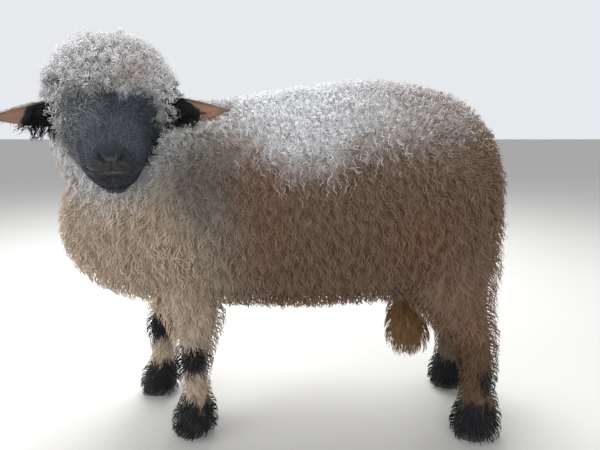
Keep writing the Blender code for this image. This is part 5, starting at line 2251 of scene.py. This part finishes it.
@dataclass
class Velvet:
    """Short fur on the muzzle and face, and the lashes: many small hairs that Geometry Nodes plant."""

    markings: Markings
    material: bpy.types.Material
    spacing: float = 0.0026
    length: float = 0.0056
    width: float = 0.00070
    lash_length: float = 0.0105
    lash_width: float = 0.00060
    lash_count: int = 30
    reach: tuple[float, float] = (0.105, 0.150)
    seed: int = 5
    patch: float = 0.003

    def host(self, skin: bpy.types.Object, where: PartMap) -> bpy.types.Object:
        """Makes what the face's fur grows on.

        Args:
            skin: the whole skin.
            where: tells the part that a place belongs to.

        Returns:
            A copy of the face's skin, with the fur's density and the way it lies on each point.
        """
        mesh = bmesh_of(skin)
        head = self.markings.head
        places = points_of(skin.data)
        back = head.measured(places)[:, 0]
        parts = where.parts_at(places)
        keep = (parts == Part.SKULL.value) & (back < self.reach[1] + 0.01)
        mesh.verts.ensure_lookup_table()
        drop = [vert for vert, stays in zip(list(mesh.verts), keep) if not stays]
        bmesh.ops.delete(mesh, geom=drop, context="VERTS")
        obj = object_of("face_host", mesh)
        data = obj.data
        places, out = points_of(data), normals_of(data)
        parts = np.full(len(places), Part.SKULL.value)
        back, aside, _ = head.measured(places).T
        fur = smoothstep(self.reach[1], self.reach[0], back)
        fur = fur * (1 - 0.75 * self.markings.bare_nose(places))
        fur = np.where(self.markings.near_eye(places, 1.0), 0.0, fur)
        forward, left, above = head.axes()
        lie = -forward + above * 0.2 + left[None, :] * (np.sign(aside) * 0.25)[:, None]
        lie = unit(lie - out * (lie * out).sum(-1, keepdims=True))
        attribute = data.attributes.new("fur", "FLOAT", "POINT")
        attribute.data.foreach_set("value", fur.astype(np.float32))
        store(data, "lie", lie)
        self.tone(data, places, out, parts)
        return obj

    def tone(self, data: bpy.types.Mesh, places: np.ndarray, out: np.ndarray, parts: np.ndarray) -> None:
        """Stores the markings and the place on the unwrap.

        Args:
            data: the mesh that hairs grow on.
            places: its points.
            out: outward directions there.
            parts: the value of each point's part.
        """
        for key, value in self.markings.of(places, out, parts).items():
            store(data, key, value)
        flat = self.markings.unwrapped(places, parts)
        store(data, "flat", np.stack((flat[:, 0], flat[:, 1], np.zeros(len(flat))), -1))

    def fur(self, skin: bpy.types.Object, where: PartMap) -> bpy.types.Object:
        """Grows the velvet of the face.

        Args:
            skin: the whole skin.
            where: tells the part that a place belongs to.

        Returns:
            The velvet.
        """
        recipe = Recipe("velvet", {
            "Spacing": ("NodeSocketFloat", self.spacing),
            "Length": ("NodeSocketFloat", self.length),
            "Width": ("NodeSocketFloat", self.width),
            "Seed": ("NodeSocketInt", self.seed),
            "Material": ("NodeSocketMaterial", self.material),
        })
        points = recipe.node("GeometryNodeDistributePointsOnFaces", {"distribute_method": "POISSON"}, {
            "Mesh": recipe.given("Mesh"),
            "Distance Min": recipe.given("Spacing"),
            "Density Max": 400000.0,
            "Density Factor": recipe.carried("fur", "FLOAT"),
            "Seed": recipe.given("Seed"),
        }, "Points")
        normal = Signal(recipe, points.source.node.outputs["Normal"])
        hair = recipe.hair(recipe.given("Length"), recipe.given("Width"), 2)
        recipe.finish(recipe.planted(points, hair, normal, recipe.carried("lie", "FLOAT_VECTOR")))
        return self.dressed(recipe.grown_on(self.host(skin, where), "coat_muzzle"))

    def lashes(self) -> bpy.types.Object:
        """The lashes of both upper lids, planted along their edges.

        Returns:
            The lashes.
        """
        head = self.markings.head
        recipe = Recipe("lashes", {
            "Length": ("NodeSocketFloat", self.lash_length),
            "Width": ("NodeSocketFloat", self.lash_width),
            "Seed": ("NodeSocketInt", self.seed + 1),
            "Material": ("NodeSocketMaterial", self.material),
        })
        ways = [recipe.carried(key, "FLOAT_VECTOR") for key in ("stand", "lie")]
        mesh = recipe.given("Mesh")
        points = recipe.node("GeometryNodeMeshToPoints", {"mode": "VERTICES"}, {"Mesh": mesh})
        hair = recipe.hair(recipe.given("Length"), recipe.given("Width"), 4)
        recipe.finish(recipe.planted(points, hair, *ways))
        places, stands, lies = [], [], []
        for side in (1, -1):
            eye, axes = head.eye_frame(side)
            for share in np.linspace(-0.92, 0.92, self.lash_count):
                level = 0.0132 * share
                rise = 0.0084 * math.sqrt(1 - share * share) + 0.0004
                depth = math.sqrt(0.0152**2 - level**2 - rise**2)
                places.append(eye + np.array((level, rise, depth)) @ axes)
                stands.append(unit(np.array((0.45 * share, 0.35, 1.0)) @ axes))
                lies.append(unit(np.array((0.5 * share, 1.0, -0.1)) @ axes))
        data = bpy.data.meshes.new("lash_roots")
        data.from_pydata([tuple(place) for place in places], [], [])
        store(data, "stand", np.array(stands))
        store(data, "lie", np.array(lies))
        skull = np.full(len(places), Part.SKULL.value)
        self.tone(data, np.array(places), np.array(stands), skull)
        return self.dressed(recipe.grown_on(link(bpy.data.objects.new("lash_roots", data)), "lashes"))

    def dressed(self, obj: bpy.types.Object) -> bpy.types.Object:
        """Gives the hairs their growth vector and their OFBake map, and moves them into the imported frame.

        Args:
            obj: hairs as the tree grows them, changed in place.

        Returns:
            The same object.
        """
        data = obj.data
        count = len(data.vertices)
        along, shade = (numbers_of(data.attributes[key].data, "value") for key in ("along", "shade"))
        centre = numbers_of(data.attributes["flat"].data, "vector", 3)[:, :2]
        store(data, "growth", np.stack((0.5 + 0.5 * along, shade, np.full(count, 0.5)), -1))
        side = (np.arange(count) % 3) / 2 - 0.5
        add_bake_map(data, centre + np.stack((side * self.patch, (along - 0.5) * self.patch), -1))
        for key in ("along", "shade", "flat", "lie", "fur", "stand"):
            if key in data.attributes:
                data.attributes.remove(data.attributes[key])
        # The tree leaves an empty slot before its material.
        data.materials.clear()
        data.materials.append(self.material)
        data.transform(Matrix.Translation(FRAME_SHIFT))
        data.shade_smooth()
        log.info("%s: %d triangles", obj.name, len(data.loops) - 2 * len(data.polygons))
        return obj

    def build(self, skin: bpy.types.Object, where: PartMap) -> list[bpy.types.Object]:
        """Velvet and lashes."""
        return [self.fur(skin, where), self.lashes()]


@dataclass
class Eyes:
    """Two eyeballs with a bulging cornea."""

    head: HeadPlan
    finish: EyeFinish
    cornea: float = 0.0011

    def build(self) -> list[bpy.types.Object]:
        """Makes both eyes, each in place of its solid.

        Returns:
            The eyes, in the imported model's frame.
        """
        material = self.finish.material()
        made = []
        for name, side in (("eye_left", 1), ("eye_right", -1)):
            centre, axes = self.head.eye_frame(side)
            obj = ball("eyeball_" + name[4:], centre, axes, [self.head.eye_radius] * 3, 64, 48)
            fix_order(obj.data)
            places = points_of(obj.data)
            local = (places - centre) @ axes.T / self.head.eye_radius
            ring = np.hypot(local[:, 0], local[:, 1])
            bulge = self.cornea * smoothstep(0.80, 0.2, ring) * (local[:, 2] > 0)
            places = places + np.outer(bulge, axes[2]) + FRAME_SHIFT
            obj.data.vertices.foreach_set("co", places.astype(np.float32).ravel())
            store(obj.data, "gaze", local)
            obj.data.materials.append(material)
            obj.data.shade_smooth()
            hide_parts(name)
            made.append(obj)
            log.info("%s", obj.name)
        return made


@dataclass
class Hooves:
    """Eight claws with rounded toes, growth rings and flat soles."""

    body: BodyPlan
    finish: HornFinish
    length: float = 0.064
    width: float = 0.027
    height: float = 0.034
    cleft: float = 0.0035
    toe_out: float = 0.010
    points: int = 36

    def claw(self, name: str, x: float, y: float, side: int) -> bpy.types.Object:
        """One claw: a loft from its flat sole to the top that the wool hides.

        Args:
            name: the object's name.
            x: its middle along the body.
            y: the middle of the foot across the body.
            side: 1 for the claw at the animal's left of the foot, -1 for the other.

        Returns:
            The claw, in the body frame.
        """
        inner = y + side * self.cleft / 2
        rings = []
        for level in np.linspace(0.0, 1.0, 15):
            shrink = 1.0 - 0.14 * level**1.4 - 0.035 * max(0.10 - level, 0.0) / 0.10
            shrink += 0.004 * math.sin(level * 34.0)
            turn = math.pi * np.arange(self.points) / (self.points - 1)
            along = np.cos(turn)
            bow = np.sin(turn) ** 0.7 * (1 - 0.25 * along)
            ring = np.stack((
                x + along * self.length / 2 * shrink,
                inner + side * self.width * bow * shrink + side * 0.0004,
                np.full(self.points, level * self.height),
            ), -1)
            rings.append(ring)
        return loft(name, rings)

    def build(self) -> list[bpy.types.Object]:
        """Makes all eight claws, each in place of its solid.

        Returns:
            The claws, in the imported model's frame.
        """
        material = self.finish.material()
        made = []
        for part in LEG_PARTS:
            rows, _, y = self.body.leg(part)
            x = rows[-1][1] + self.toe_out
            end, flank = part.name.lower().split("_")
            for side in (1, -1):
                which = "outer" if side * y > 0 else "inner"
                obj = self.claw(f"hoof_{end}_{flank}_{which}", x, y, side)
                obj.data.transform(Matrix.Translation(FRAME_SHIFT))
                obj.data.materials.append(material)
                obj.data.shade_smooth()
                obj.data.set_sharp_from_angle(angle=math.radians(50))
                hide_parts(f"claw_{end}_{flank}_{which}")
                made.append(obj)
                log.info("%s", obj.name)
        return made


@dataclass
class Studio:
    """Camera at the photograph's viewing angle, a plain pale floor and soft studio light."""

    camera_place: tuple[float, float, float] = (-0.0561, 0.9334, 0.66)
    camera_tilt: float = math.radians(78.0)
    lens: float = 27.0
    floor_colour: Colour = (0.44, 0.43, 0.41)

    def camera(self) -> None:
        """Sets the camera."""
        data = bpy.data.cameras.new("camera")
        data.lens = self.lens
        data.sensor_width = 36.0
        data.clip_start = 0.02
        obj = link(bpy.data.objects.new("camera", data))
        obj.location = self.camera_place
        obj.rotation_euler = (self.camera_tilt, 0.0, math.pi)
        bpy.context.scene.camera = obj

    def floor(self) -> None:
        """A wide plain floor."""
        mesh = bmesh.new()
        bmesh.ops.create_grid(mesh, x_segments=1, y_segments=1, size=30.0)
        obj = object_of("floor", mesh)
        paint = Paint("floor_paint")
        paint.set(Base_Color=self.floor_colour, Roughness=0.85)
        obj.data.materials.append(paint.material)

    def lamp(self, name: str, place: Sequence[float], size: float, power: float, colour: Colour) -> None:
        """A square soft lamp that looks at the animal's middle.

        Args:
            name: the lamp's name.
            place: where it stands.
            size: its width.
            power: how strong it is, in watts.
            colour: the colour of its light.
        """
        data = bpy.data.lights.new(name, "AREA")
        data.shape = "SQUARE"
        data.size = size
        data.energy = power
        data.color = colour
        obj = link(bpy.data.objects.new(name, data))
        obj.location = place
        obj.rotation_euler = (Vector((0.0, 0.0, 0.45)) - Vector(place)).to_track_quat("-Z", "Y").to_euler()

    def light(self) -> None:
        """A large soft lamp over and behind the animal, and a gentle fill from the camera's side."""
        self.lamp("over_behind", (0.3, -1.3, 2.7), 2.2, 165.0, (0.96, 0.98, 1.0))
        self.lamp("window_fore", (2.6, 1.0, 1.8), 1.8, 50.0, (0.95, 0.975, 1.0))
        self.lamp("fill", (-0.6, 3.2, 1.7), 2.6, 52.0, (1.0, 0.98, 0.96))
        world = bpy.data.worlds.new("studio")
        world.use_nodes = True
        background = world.node_tree.nodes["Background"]
        background.inputs[0].default_value = (0.80, 0.82, 0.85, 1.0)
        background.inputs[1].default_value = 1.0
        bpy.context.scene.world = world
        bpy.context.scene.view_settings.view_transform = "Standard"

    def build(self) -> None:
        """All of it."""
        self.camera()
        self.floor()
        self.light()
        log.info("studio")


def main() -> None:
    """Builds the animal and the studio round it."""
    logging.basicConfig(level=logging.INFO, format="%(message)s")
    body, head = BodyPlan(), HeadPlan()
    wool = WoolFinish()
    markings = Markings(body, head)
    skin, where = Flesh(body, head).build()
    strands = Grower(CoatPlan(), markings, skin, where).build()
    wool_look = wool.coat()
    coat = Fleece(Weaver(markings), wool_look).build(strands) + Velvet(markings, wool_look).build(skin, where)
    places, outward = points_of(skin.data), normals_of(skin.data)
    for key, value in markings.of(places, outward, where.parts_at(places)).items():
        store(skin.data, key, value)
    skin.data.transform(Matrix.Translation(FRAME_SHIFT))
    skin.data.materials.clear()
    skin.data.materials.append(wool.skin())
    flesh_nodes = [name for name in frame["nodes"] if not name.startswith(("eye", "claw"))]
    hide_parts(*flesh_nodes)
    slots = {"coat_cap": "face_and_cap", "coat_brow": "face_and_cap", "coat_face": "face_and_cap",
             "coat_muzzle": "face_and_cap", "lashes": "face_and_cap", "coat_ears": "ear_skin",
             "coat_legs_fore": "leg_wool", "coat_legs_hind": "leg_wool"}
    for piece in coat:
        slots.get(piece.name, "body_fleece")
    eyes = Eyes(head, EyeFinish()).build()
    hooves = Hooves(body, HornFinish()).build()
    for piece in [skin, *coat, *eyes, *hooves]:
        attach(piece, ROOT)
    Studio().build()


if __name__ == "__main__":
    main()
